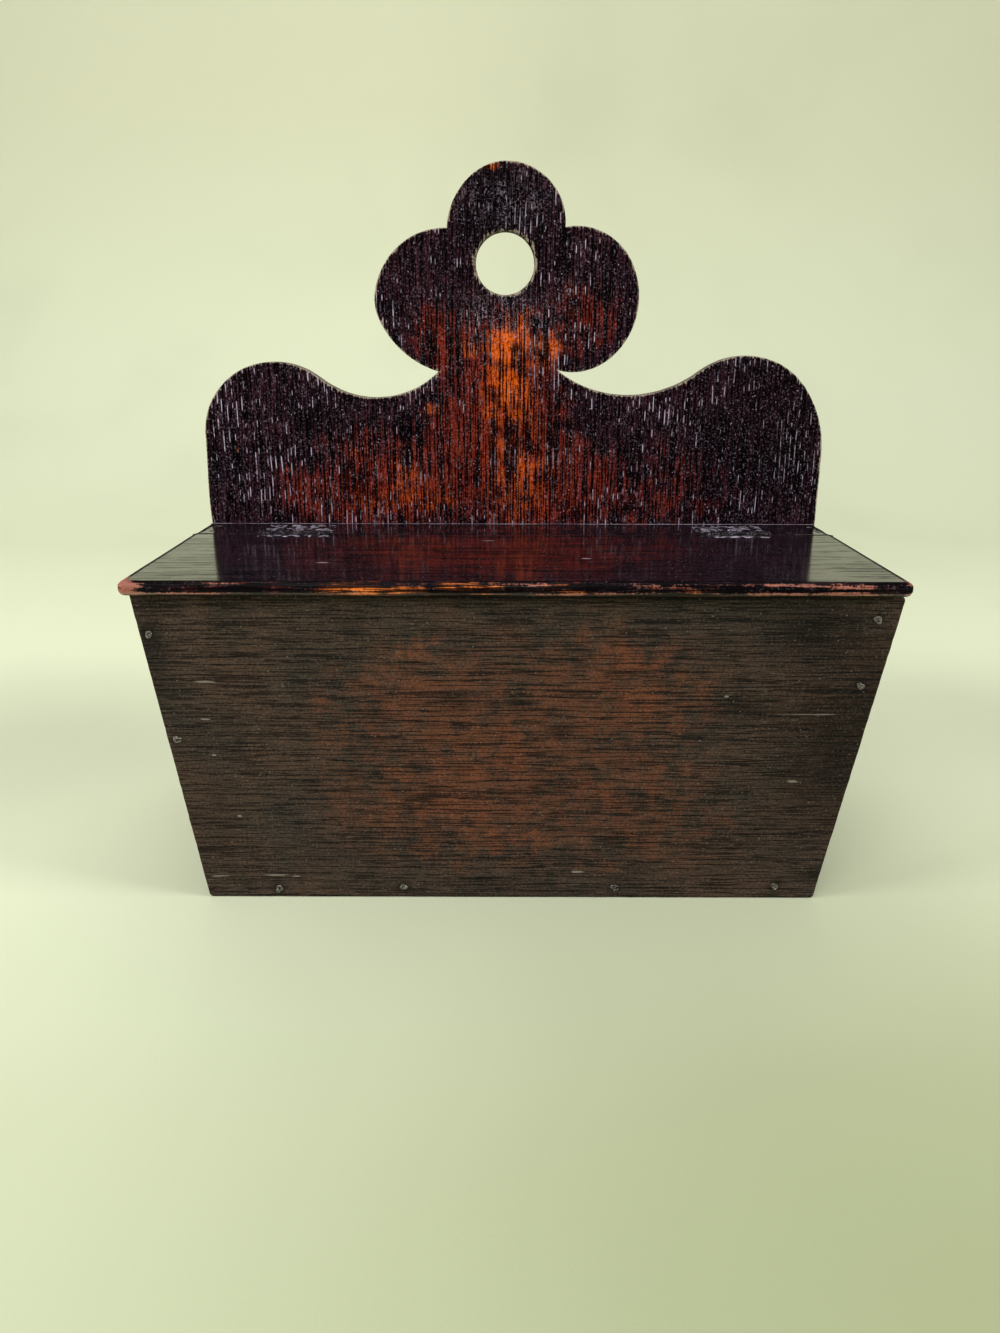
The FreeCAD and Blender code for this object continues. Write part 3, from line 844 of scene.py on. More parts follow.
class Outline:
    """Closed line round a board's face, anticlockwise, in two coordinates."""

    CORNER_TURN = 40.0
    STRAIGHT = 8.0
    MITRE_LIMIT = 0.7
    FLAT_TOLERANCE = 0.02
    CORNER_POINTS = 9

    def __init__(self, points: np.ndarray, hole: bool = False) -> None:
        """Keep the points, turned anticlockwise, or clockwise round a hole.

        Args:
            points: The line's points in order.
            hole: Whether the board lies outside the line.
        """
        after = np.roll(points, -1, 0)
        area = (points[:, 0] * after[:, 1] - after[:, 0] * points[:, 1]).sum() / 2
        self.area = abs(area)
        self.hole = hole
        self.points = points[::-1].copy() if (area < 0) != hole else points.copy()

    @classmethod
    def of_face(cls, node: str, axis: Axis, level: float) -> "Outline":
        """Read the outer line of a node's flat face.

        Args:
            node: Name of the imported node.
            axis: Direction that the face is square to.
            level: Where the face lies along that direction.

        Returns:
            The largest closed line on that face.
        """
        points = node_points(node)
        flat = [index for index in range(3) if index != axis.value]
        places, names = welded(points)
        uses: dict[tuple[int, int], int] = {}
        for polygon in frame["nodes"][node].data.polygons:
            corners = list(polygon.vertices)
            if np.abs(points[corners, axis.value] - level).max() < cls.FLAT_TOLERANCE:
                ring = [names[corner] for corner in corners]
                for pair in zip(ring, ring[1:] + ring[:1]):
                    uses[pair] = uses.get(pair, 0) + 1
        after = {first: second for first, second in uses if (second, first) not in uses}
        loops = []
        while after:
            first, second = after.popitem()
            chain = [first]
            while second != first:
                chain.append(second)
                second = after.pop(second)
            loops.append(cls(places[chain][:, flat]))
        return max(loops, key=lambda loop: loop.area)

    @classmethod
    def rectangle(cls, low: np.ndarray, high: np.ndarray, rounds: Sequence[float]) -> "Outline":
        """Make a rectangle with rounded corners.

        Args:
            low: Lowest corner.
            high: Highest corner.
            rounds: Radius of each corner, from the lowest one anticlockwise.

        Returns:
            The closed line.
        """
        corners = [(low[0], low[1], 180), (high[0], low[1], 270), (high[0], high[1], 0),
                   (low[0], high[1], 90)]
        points = []
        for (x, y, start), radius in zip(corners, rounds):
            centre_x = x + radius * (1 if x == low[0] else -1)
            centre_y = y + radius * (1 if y == low[1] else -1)
            count = cls.CORNER_POINTS if radius else 1
            for angle in np.radians(np.linspace(start, start + 90, count)):
                points.append((centre_x + radius * math.cos(angle), centre_y + radius * math.sin(angle)))
        return cls(np.array(points))

    @classmethod
    def circle(cls, centre: tuple[float, float], radius: float, count: int = 96) -> "Outline":
        """Make a round hole's line.

        Args:
            centre: Middle of the hole.
            radius: Its radius.
            count: Number of points.

        Returns:
            The closed line.
        """
        angles = np.linspace(0, 2 * math.pi, count, endpoint=False)
        spokes = np.stack([np.cos(angles), np.sin(angles)], 1)
        return cls(np.array(centre) + spokes * radius, hole=True)

    def evened(self, step: float) -> "Outline":
        """Draw the line again with points at an even step, smooth except at its corners.

        Args:
            step: Distance between points.

        Returns:
            The new line.
        """
        points = self.points
        ahead = np.roll(points, -1, 0) - points
        length = np.linalg.norm(ahead, axis=1)
        unit = ahead / length[:, None]
        back = np.roll(unit, 1, 0)
        back_length = np.roll(length, 1)
        turn = np.degrees(np.arccos(np.clip((unit * back).sum(1), -1, 1)))
        smooth = unit * back_length[:, None] + back * length[:, None]
        smooth /= np.linalg.norm(smooth, axis=1)[:, None] + 1e-12
        smooth = np.where((back_length > self.STRAIGHT)[:, None], back, smooth)
        smooth = np.where((length > self.STRAIGHT)[:, None], unit, smooth)
        sharp = (turn > self.CORNER_TURN)[:, None]
        leave = np.where(sharp, unit, smooth) * length[:, None]
        arrive = np.roll(np.where(sharp, back, smooth), -1, 0) * length[:, None]
        rows = []
        for index, (start, end) in enumerate(zip(points, np.roll(points, -1, 0))):
            count = max(1, math.ceil(length[index] / step))
            t = (np.arange(count) / count)[:, None]
            first = (2 * t ** 3 - 3 * t ** 2 + 1) * start + (t ** 3 - 2 * t ** 2 + t) * leave[index]
            rows.append(first + (3 * t ** 2 - 2 * t ** 3) * end + (t ** 3 - t ** 2) * arrive[index])
        drawn = Outline.__new__(Outline)
        drawn.points = np.concatenate(rows)
        drawn.hole = self.hole
        drawn.area = self.area
        return drawn

    def inward(self) -> np.ndarray:
        """Find the way into the board at each point.

        Returns:
            Direction at each point, longer at a corner as a mitre is.
        """
        ahead = np.roll(self.points, -1, 0) - self.points
        unit = ahead / np.linalg.norm(ahead, axis=1)[:, None]
        mean = unit + np.roll(unit, 1, 0)
        size = np.linalg.norm(mean, axis=1)[:, None]
        mean = mean / (size + 1e-12)
        reach = 1 / np.maximum(size / 2, self.MITRE_LIMIT)
        return np.stack([-mean[:, 1], mean[:, 0]], 1) * reach

    def run(self) -> np.ndarray:
        """Distance of each point from the first, along the line."""
        length = np.linalg.norm(np.roll(self.points, -1, 0) - self.points, axis=1)
        return np.concatenate([[0.0], np.cumsum(length)[:-1]])

    def holds(self, places: np.ndarray) -> np.ndarray:
        """Say which places lie inside the line.

        Args:
            places: The places.

        Returns:
            True for each one that lies inside.
        """
        inside = np.zeros(len(places), bool)
        for (x1, y1), (x2, y2) in zip(self.points, np.roll(self.points, -1, 0)):
            if y1 == y2:
                continue
            crosses = (places[:, 1] < y1) != (places[:, 1] < y2)
            inside ^= crosses & (places[:, 0] < x1 + (places[:, 1] - y1) * (x2 - x1) / (y2 - y1))
        return inside


def distances(places: np.ndarray, bounds: Sequence[Outline]) -> np.ndarray:
    """Measure how far places lie from some lines.

    Args:
        places: The places.
        bounds: The lines.

    Returns:
        Distance of each place from the nearest point of them all.
    """
    tree = KDTree(sum(len(bound.points) for bound in bounds))
    for bound in bounds:
        for x, y in bound.points:
            tree.insert((x, y, 0), 0)
    tree.balance()
    return np.array([tree.find((x, y, 0))[2] for x, y in places])


TIP_SPAN = 0.1
HEAD_SPAN = 0.6


@dataclass
class Driven:
    """One nail: the middle of its head, the way its head faces, its size and its length."""

    head: np.ndarray
    faces: np.ndarray
    radius: float
    length: float


def read_nails(node: str, faces: Way) -> list[Driven]:
    """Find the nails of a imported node.

    Args:
        node: Name of the node.
        faces: Direction that the heads face.

    Returns:
        One entry for each nail.
    """
    places, names = welded(node_points(node))
    owner = list(range(len(places)))

    def root(index: int) -> int:
        """Follow the owners of a point to the first.

        Args:
            index: Number of the point.

        Returns:
            Number of its first owner.
        """
        while owner[index] != index:
            index = owner[index]
        return index

    for polygon in frame["nodes"][node].data.polygons:
        corners = [names[corner] for corner in polygon.vertices]
        for corner in corners[1:]:
            owner[root(corner)] = root(corners[0])
    groups: dict[int, list[int]] = {}
    for index in range(len(places)):
        groups.setdefault(root(index), []).append(index)
    way = np.array(faces.value)
    nails = []
    for members in groups.values():
        own = places[members]
        height = own @ way
        tip = own[height < height.min() + TIP_SPAN].mean(0)
        crown = own[height > height.max() - HEAD_SPAN]
        head = crown.mean(0)
        axis = (head - tip) / np.linalg.norm(head - tip)
        radius = np.linalg.norm(np.cross(crown - head, axis), axis=1).max()
        nails.append(Driven(head, axis, radius, float(np.linalg.norm(head - tip))))
    return nails


def finished(name: str, points: np.ndarray, faces: Sequence[Sequence[int]],
             values: dict[str, np.ndarray] | None = None) -> bpy.types.Object:
    """Make a smooth-shaded piece from points in millimetres.

    Args:
        name: Name of the piece.
        points: Its points.
        faces: Its faces, as rows of point numbers.
        values: Numbers held at each point, by name.

    Returns:
        The piece, in the scene.
    """
    mesh = bpy.data.meshes.new(name)
    mesh.from_pydata((points * MM).tolist(), [], [list(face) for face in faces])
    for key, numbers in (values or {}).items():
        held = mesh.attributes.new(key, "FLOAT", "POINT")
        held.data.foreach_set("value", np.asarray(numbers, np.float32))
    shaped = bmesh.new()
    shaped.from_mesh(mesh)
    bmesh.ops.remove_doubles(shaped, verts=shaped.verts, dist=1e-7)
    bmesh.ops.recalc_face_normals(shaped, faces=shaped.faces)
    shaped.to_mesh(mesh)
    shaped.free()
    mesh.shade_smooth()
    piece = bpy.data.objects.new(name, mesh)
    bpy.context.scene.collection.objects.link(piece)
    return piece


def applied(piece: bpy.types.Object) -> None:
    """Give a piece the mesh that its modifiers make, and take them off.

    Args:
        piece: The piece.
    """
    graph = bpy.context.evaluated_depsgraph_get()
    made = bpy.data.meshes.new_from_object(piece.evaluated_get(graph))
    piece.modifiers.clear()
    piece.data = made
    made.shade_smooth()


class Piece:
    """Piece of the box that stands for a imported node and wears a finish."""

    node: str
    body: str
    slot: str
    finish: OakFinish | IronFinish

    def dress(self, piece: bpy.types.Object) -> None:
        """Give the piece its finish and its body, and hide the node that it stands for.

        Args:
            piece: The piece, in the scene.
        """
        piece.data.materials.clear()
        piece.data.materials.append(self.finish.make())
        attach(piece, self.body)
        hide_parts(self.node)
        LOG.info("%s: %d points, %d faces", piece.name, len(piece.data.vertices), len(piece.data.polygons))


@dataclass
class Skin:
    """Mesh of a board while it is being made."""

    points: list[np.ndarray] = field(default_factory=list)
    edge: list[np.ndarray] = field(default_factory=list)
    dent: list[np.ndarray] = field(default_factory=list)
    faces: list[list[int]] = field(default_factory=list)
    count: int = 0

    def add(self, points: np.ndarray, edge: np.ndarray, dent: np.ndarray) -> int:
        """Add points.

        Args:
            points: Places in millimetres.
            edge: How near each is to an edge.
            dent: How dark each is from dents.

        Returns:
            Number of the first one.
        """
        first = self.count
        self.points.append(points)
        self.edge.append(edge)
        self.dent.append(dent)
        self.count += len(points)
        return first


@dataclass
class Board(Piece):
    """One board: a prism with worn edges and a surface that follows its grain."""

    FACE_EDGE = 0.45
    WALL_EDGE = 0.3
    SQUARE_EDGE = 0.55
    ROUND_EDGE = 0.6
    EDGE_FADE = 2.2
    SIDE_SHIFT = (400.0, 90.0)
    NAIL_RINGS = (0.45, 0.9, 1.2, 1.55, 2.0, 2.5)
    NAIL_SPOKES = 14
    NAIL_CLEAR = 2.6
    SAME_WAY = 0.9
    ROW_SHIFT = 0.382
    RIM_CLEAR = 0.6

    name: str
    node: str
    body: str
    slot: str
    thickness: Axis
    grain: Axis
    finish: OakFinish
    seed: int
    edge_radius: float = 0.9
    edge_wear: float = 0.5
    edge_rings: int = 4
    step: float = 1.3
    wall_step: float = 2.4
    fine: float = 0.9
    coarse: float = 7.0
    guard: float = 0.5
    pore_depth: float = 0.07
    wave_depth: float = 0.12
    wobble: float = 0.12
    dents: int = 14
    dent_depth: float = 0.16
    dimple_depth: float = 0.3
    dimple_reach: float = 1.5
    stain_reach: float = 1.35
    nails: list[Driven] = field(default_factory=list)

    def __post_init__(self) -> None:
        """Work out the board's place and its random fields."""
        self.low, self.high = node_box(self.node)
        self.flat = [index for index in range(3) if index != self.thickness.value]
        self.bottom = self.low[self.thickness.value]
        self.top = self.high[self.thickness.value]
        self.pores = Drift(self.seed, 1.0, 26.0)
        self.waves = Drift(self.seed + 1, 31.0, 47.0)
        self.edge_field = Drift(self.seed + 2, 9.0, 5.0)
        self.wall_field = Drift(self.seed + 3, 3.0, 14.0)
        rng = np.random.default_rng(self.seed + 4)
        spots = rng.random((self.dents, 2)) * (self.high - self.low)[self.flat] + self.low[self.flat]
        sizes = 0.8 + 2.2 * rng.random((self.dents, 2))
        sides = np.where(rng.random(self.dents) < 0.5, -1, 1)
        self.marks = [(spot, size, side) for spot, size, side in zip(spots, sizes, sides)]

    def outlines(self) -> list[Outline]:
        """Lines round the board's section: the outer one, then any holes."""
        return [Outline.of_face(self.node, self.thickness, self.top)]

    def radii(self, outline: Outline, side: int) -> np.ndarray:
        """How far the edge is rounded at each point of an outline.

        Args:
            outline: The line.
            side: 1 at the board's top side along its thickness, -1 at its bottom side.

        Returns:
            Radius at each point.
        """
        vary = self.edge_field.at(outline.run(), np.full(len(outline.points), 3.0 * side))
        return self.edge_radius * (1 - self.edge_wear / 2 + self.edge_wear * vary)

    def wall(self, run: np.ndarray, level: np.ndarray) -> np.ndarray:
        """How far the wall is worn in at places along an outline and their levels."""
        return self.wobble * self.wall_field.at(run, level)

    def relief(self, places: np.ndarray, side: int) -> np.ndarray:
        """How far a flat face lies below its full height.

        Args:
            places: Places on the face.
            side: 1 for the top side along the thickness, -1 for the bottom side.

        Returns:
            Depth at each place.
        """
        along = self.flat.index(self.grain.value) if self.grain.value in self.flat else 1
        pore_shift, wave_shift = self.SIDE_SHIFT
        across = places[:, 1 - along] + pore_shift * side
        pore = eased(self.pores.at(across, places[:, along]), 0.45, 0.85)
        wave = self.waves.at(places[:, 0], places[:, 1] + wave_shift * side)
        depth = self.pore_depth * pore + self.wave_depth * wave
        for hollow in self.hollows(places, side):
            depth += self.dent_depth * hollow
        for dimple in self.dimples(places, side, self.dimple_reach):
            depth += self.dimple_depth * dimple
        return depth

    def hollows(self, places: np.ndarray, side: int) -> list[np.ndarray]:
        """For each dent of one face, 1 at its middle fading to 0 round it."""
        return [np.exp(-(((places - spot) / size) ** 2).sum(1))
                for spot, size, mark_side in self.marks if mark_side == side]

    def dimples(self, places: np.ndarray, side: int, reach: float) -> list[np.ndarray]:
        """Find how near places are to the nails in one face.

        Args:
            places: Places on the face.
            side: 1 for the top side along the thickness, -1 for the bottom side.
            reach: Size of the zone round a nail, in radii of its head.

        Returns:
            For each nail, 1 at its middle fading to 0 round it.
        """
        zones = []
        for nail in self.facing(side):
            away = np.linalg.norm(places - nail.head[self.flat], axis=1)
            zones.append(np.exp(-(away / (nail.radius * reach)) ** 2))
        return zones

    def darkening(self, places: np.ndarray, side: int) -> np.ndarray:
        """Find how dark a face is round its nails and in its dents.

        Args:
            places: Places on the face.
            side: 1 for the top side along the thickness, -1 for the bottom side.

        Returns:
            Darkness of each place, from 0 to 1.
        """
        dark = np.zeros(len(places))
        for hollow in self.hollows(places, side):
            dark = np.maximum(dark, 0.5 * hollow)
        for dimple in self.dimples(places, side, self.stain_reach):
            dark = np.maximum(dark, dimple)
        return dark

    def facing(self, side: int) -> list[Driven]:
        """Nails whose heads lie in one face of the board."""
        return [nail for nail in self.nails if nail.faces[self.thickness.value] * side > self.SAME_WAY]

    def place(self, flat: np.ndarray, level: np.ndarray) -> np.ndarray:
        """Put places of the section into the model.

        Args:
            flat: Places on the section.
            level: Level of each along the thickness.

        Returns:
            Points of the model.
        """
        points = np.zeros((len(flat), 3))
        points[:, self.flat] = flat
        points[:, self.thickness.value] = level
        return points

    def rings(self, outline: Outline) -> list[tuple[np.ndarray, np.ndarray, np.ndarray]]:
        """Rings from the top face over the edge, down the wall and over the other edge.

        Args:
            outline: The line that they follow.

        Returns:
            For each ring its places, its levels and how near it is to an edge.
        """
        inward = outline.inward()
        run = outline.run()
        rows = []
        tops, bottoms = self.radii(outline, 1), self.radii(outline, -1)
        for side, radius, face in ((1, tops, self.top), (-1, bottoms, self.bottom)):
            ring_rows = []
            settled = outline.points + inward * (radius + self.guard)[:, None]
            depth = self.relief(settled, side)
            ring_rows.append((settled, face - side * depth, np.full(len(run), self.FACE_EDGE)))
            for angle in np.linspace(math.pi / 2, 0, self.edge_rings + 1):
                level = face - side * radius * (1 - math.sin(angle)) - side * depth * math.sin(angle)
                inset = radius * (1 - math.cos(angle)) + self.wall(run, level) * math.cos(angle)
                edge = self.SQUARE_EDGE
                if angle > 0.1:
                    edge = self.ROUND_EDGE + (1 - self.ROUND_EDGE) * math.sin(2 * angle)
                ring_rows.append((outline.points + inward * inset[:, None], level, np.full(len(run), edge)))
            rows.append(ring_rows)
        upper, lower = rows[0], rows[1][::-1]
        gap = self.top - self.bottom - tops.max() - bottoms.max()
        count = max(1, round(gap / self.wall_step))
        between = []
        for share in np.arange(1, count) / count:
            level = upper[-1][1] * (1 - share) + lower[0][1] * share
            inset = self.wall(run, level)
            worn = outline.points + inward * inset[:, None]
            between.append((worn, level, np.full(len(run), self.WALL_EDGE)))
        return upper + between + lower

    def grid(self, bounds: Sequence[Outline], side: int) -> np.ndarray:
        """Places inside a face, close together across the grain and further apart along it.

        Args:
            bounds: The lines that the places stay inside.
            side: 1 for the top side along the thickness, -1 for the bottom side.

        Returns:
            The places.
        """
        along = self.flat.index(self.grain.value) if self.grain.value in self.flat else 1
        low, high = bounds[0].points.min(0), bounds[0].points.max(0)
        rows = np.arange(low[1 - along], high[1 - along], self.fine)
        spots = []
        for index, row in enumerate(rows):
            offset = self.coarse * (index * self.ROW_SHIFT % 1)
            line = np.arange(low[along] - offset, high[along], self.coarse)
            pair = [None, None]
            pair[along] = line
            pair[1 - along] = np.full(len(line), row)
            spots.append(np.stack(pair, 1))
        places = np.concatenate(spots)
        for nail in self.facing(side):
            centre = nail.head[self.flat]
            clear = np.linalg.norm(places - centre, axis=1) > nail.radius * self.NAIL_CLEAR
            places = places[clear]
            for share in self.NAIL_RINGS:
                angles = np.linspace(0, 2 * math.pi, self.NAIL_SPOKES, endpoint=False) + share
                spokes = np.stack([np.cos(angles), np.sin(angles)], 1)
                places = np.concatenate([places, centre + spokes * nail.radius * share])
        keep = bounds[0].holds(places)
        for hole in bounds[1:]:
            keep &= ~hole.holds(places)
        places = places[keep]
        return places[distances(places, bounds) > self.fine * self.RIM_CLEAR]

    def build(self) -> bpy.types.Object:
        """Make the board's mesh.

        Returns:
            The piece, in the scene.
        """
        skin = Skin()
        rims: dict[int, list[tuple[np.ndarray, int]]] = {1: [], -1: []}
        for outline in self.outlines():
            line = outline.evened(self.step)
            rings = self.rings(line)
            starts = [skin.add(self.place(places, level), edge, np.zeros(len(places)))
                      for places, level, edge in rings]
            rims[1].append((rings[0][0], starts[0]))
            rims[-1].append((rings[-1][0], starts[-1]))
            index = np.arange(len(line.points))
            after = np.roll(index, -1)
            for first, second in zip(starts, starts[1:]):
                quads = np.stack([first + index, first + after, second + after, second + index], 1)
                skin.faces.extend(quads.tolist())
        for side, level in ((1, self.top), (-1, self.bottom)):
            self._close(skin, rims[side], side, level)
        values = {"edge": np.concatenate(skin.edge), "dent": np.concatenate(skin.dent)}
        return finished(self.name, np.concatenate(skin.points), skin.faces, values)

    def _close(self, skin: Skin, rims: list[tuple[np.ndarray, int]], side: int, level: float) -> None:
        """Fill one face of the board.

        Args:
            skin: The mesh so far.
            rims: Places of each rim, and the number of its first point in the mesh.
            side: 1 for the top side along the thickness, -1 for the bottom side.
            level: Where the face lies along the thickness.
        """
        bounds = [Outline(places, hole=number > 0) for number, (places, _) in enumerate(rims)]
        inner = self.grid(bounds, side)
        numbers = [start + offset for places, start in rims for offset in range(len(places))]
        numbers += list(range(skin.count, skin.count + len(inner)))
        flat = np.concatenate([places for places, _ in rims] + [inner])
        links = []
        first = 0
        for places, _ in rims:
            ring = np.arange(first, first + len(places))
            links += np.stack([ring, np.roll(ring, -1)], 1).tolist()
            first += len(places)
        corners, _, triangles, sources, _, _ = delaunay_2d_cdt([Vector(place) for place in flat], links,
                                                               [], 2, 1e-7)
        spare = []
        names = []
        for corner, origins in zip(corners, sources):
            if origins:
                names.append(numbers[origins[0]])
            else:
                names.append(skin.count + len(inner) + len(spare))
                spare.append(tuple(corner))
        spots = np.array([tuple(corner) for corner in corners])
        middles = np.array([spots[list(triangle)].mean(0) for triangle in triangles])
        solid = bounds[0].holds(middles)
        for hole in bounds[1:]:
            solid &= ~hole.holds(middles)
        skin.faces.extend([names[corner] for corner in triangle]
                          for triangle, kept in zip(triangles, solid) if kept)
        if spare:
            inner = np.concatenate([inner, np.array(spare)])
        near = self.FACE_EDGE * np.exp(-distances(inner, bounds) / self.EDGE_FADE)
        skin.add(self.place(inner, level - side * self.relief(inner, side)), near, self.darkening(inner, side))


@dataclass
class Backboard(Board):
    """Tall shaped board with its hanging hole."""

    hole_rim: float = 2.0

    def outlines(self) -> list[Outline]:
        """Give the shaped outer line and the hanging hole's line.

        Returns:
            Both lines, the outer one first.
        """
        mount = next(one for one in frame["record"]["mounts"] if one["name"] == "hanging_hole")
        centre = (mount["pos_m"][0] / MM, mount["pos_m"][2] / MM)
        return [*super().outlines(), Outline.circle(centre, mount["dims"]["r_mm"])]

    def radii(self, outline: Outline, side: int) -> np.ndarray:
        """Edge rounding, wider round the hole where it is worn."""
        radius = super().radii(outline, side)
        return radius + (self.hole_rim - self.edge_radius if outline.hole else 0.0)


@dataclass
class NosedBoard(Board):
    """Flat board whose front or ends are worked to a rounded nose."""

    TOLERANCE = 0.05
    ROD_SIDES = 28

    nose_radius: float = 3.3
    corner_radius: float = 4.0
    nosed_front: bool = True
    streaks: float = 0.35
    recesses: tuple[str, ...] = ()
    leaf_thickness: float = 1.5
    barrel_radius: float = 2.0
    barrel_room: float = 0.35
    recess_room: float = 0.15
    cut_reach: tuple[float, float] = (5.0, 4.0)

    def outlines(self) -> list[Outline]:
        """Rectangle of the board's plan, rounded at the front corners of the lid."""
        front = self.corner_radius if self.nosed_front else 0.0
        return [Outline.rectangle(self.low[:2], self.high[:2], (front, front, 0.0, 0.0))]

    def nosed(self, outline: Outline) -> np.ndarray:
        """Say where the outline has the nose.

        Args:
            outline: The line.

        Returns:
            1 at its points that have the nose, 0 at the square edges.
        """
        points = outline.points
        at_end = np.minimum(points[:, 0] - self.low[0], self.high[0] - points[:, 0]) < self.TOLERANCE
        at_front = points[:, 1] < self.low[1] + self.corner_radius + self.TOLERANCE
        return (at_end | (at_front & self.nosed_front)).astype(float)

    def radii(self, outline: Outline, side: int) -> np.ndarray:
        """How far the edge is rounded: the nose radius along the nose, a slight arris elsewhere.

        Args:
            outline: The line.
            side: 1 at the board's top side along its thickness, -1 at its bottom side.

        Returns:
            Radius at each point.
        """
        nosed = self.nosed(outline)
        square = super().radii(outline, side)
        vary = self.edge_field.at(outline.run() / 3, np.full(len(square), 7.0 * side))
        return nosed * (self.nose_radius - 0.5 * vary) + (1 - nosed) * square

    def wall(self, run: np.ndarray, level: np.ndarray) -> np.ndarray:
        """How far the wall is worn in, by grooves and chips that run along the nose.

        Args:
            run: Distances along the outline.
            level: Levels along the thickness.

        Returns:
            Depth at each place.
        """
        groove = Drift(self.seed + 6, 34.0, 0.9).at(run, level)
        chip = Drift(self.seed + 7, 6.0, 1.6).at(run, level)
        return self.streaks * (eased(groove, 0.35, 0.9) * 0.7 + eased(chip, 0.7, 1.0) * 0.6)

    def build(self) -> bpy.types.Object:
        """Make the board's mesh and cut the beds of the hinge leaves and their barrels.

        Returns:
            The piece, in the scene.
        """
        piece = super().build()
        inward = -1 if self.nosed_front else 1
        reach, above = self.cut_reach
        for leaf in self.recesses:
            low, high = node_box(leaf)
            inner, outer = (low[1], high[1]) if self.nosed_front else (high[1], low[1])
            rim = self.high[1] if self.nosed_front else self.low[1]
            ends = (low[0] - self.recess_room, high[0] + self.recess_room)
            spread = sorted((inner + inward * self.recess_room, rim - inward * reach))
            floor = self.top - self.leaf_thickness - self.recess_room
            low, high = (ends[0], spread[0], floor), (ends[1], spread[1], self.top + above)
            self._cut(piece, self._block(low, high))
            radius = self.barrel_radius + self.barrel_room
            self._cut(piece, self._rod(radius, ends, outer + inward * self.barrel_radius, self.top))
            LOG.info("%s: bed for %s", piece.name, leaf)
        return piece

    @staticmethod
    def _block(low: Span, high: Span) -> bpy.types.Object:
        """Make an upright block.

        Args:
            low: Lowest corner.
            high: Highest corner.

        Returns:
            The block as a cutting object.
        """
        shape = bmesh.new()
        bmesh.ops.create_cube(shape, size=1.0)
        for vertex in shape.verts:
            vertex.co = [(a if c < 0 else b) * MM for a, b, c in zip(low, high, vertex.co)]
        return NosedBoard._tool(shape)

    @staticmethod
    def _rod(radius: float, ends: tuple[float, float], y: float, z: float) -> bpy.types.Object:
        """Make a round rod along X.

        Args:
            radius: Its radius.
            ends: Where it starts and ends.
            y: Its place from front to back.
            z: Its height.

        Returns:
            The rod as a cutting object.
        """
        shape = bmesh.new()
        bmesh.ops.create_cone(shape, cap_ends=True, segments=NosedBoard.ROD_SIDES, radius1=radius * MM,
                              radius2=radius * MM, depth=(ends[1] - ends[0]) * MM)
        for vertex in shape.verts:
            x, up, along = vertex.co
            vertex.co = (along + sum(ends) / 2 * MM, x + y * MM, up + z * MM)
        bmesh.ops.recalc_face_normals(shape, faces=shape.faces)
        return NosedBoard._tool(shape)

    @staticmethod
    def _tool(shape: bmesh.types.BMesh) -> bpy.types.Object:
        """Put a cutting shape in the scene.

        Args:
            shape: The shape, which is used up.

        Returns:
            Its object.
        """
        mesh = bpy.data.meshes.new("cutter")
        shape.to_mesh(mesh)
        shape.free()
        tool = bpy.data.objects.new("cutter", mesh)
        bpy.context.scene.collection.objects.link(tool)
        return tool

    @staticmethod
    def _cut(piece: bpy.types.Object, tool: bpy.types.Object) -> None:
        """Take a tool's shape out of a piece, and remove the tool.

        Args:
            piece: The piece that is cut.
            tool: The cutting object.
        """
        cut = piece.modifiers.new("cut", "BOOLEAN")
        cut.operation = "DIFFERENCE"
        cut.solver = "MANIFOLD"
        cut.object = tool
        applied(piece)
        mesh = tool.data
        bpy.data.objects.remove(tool)
        bpy.data.meshes.remove(mesh)


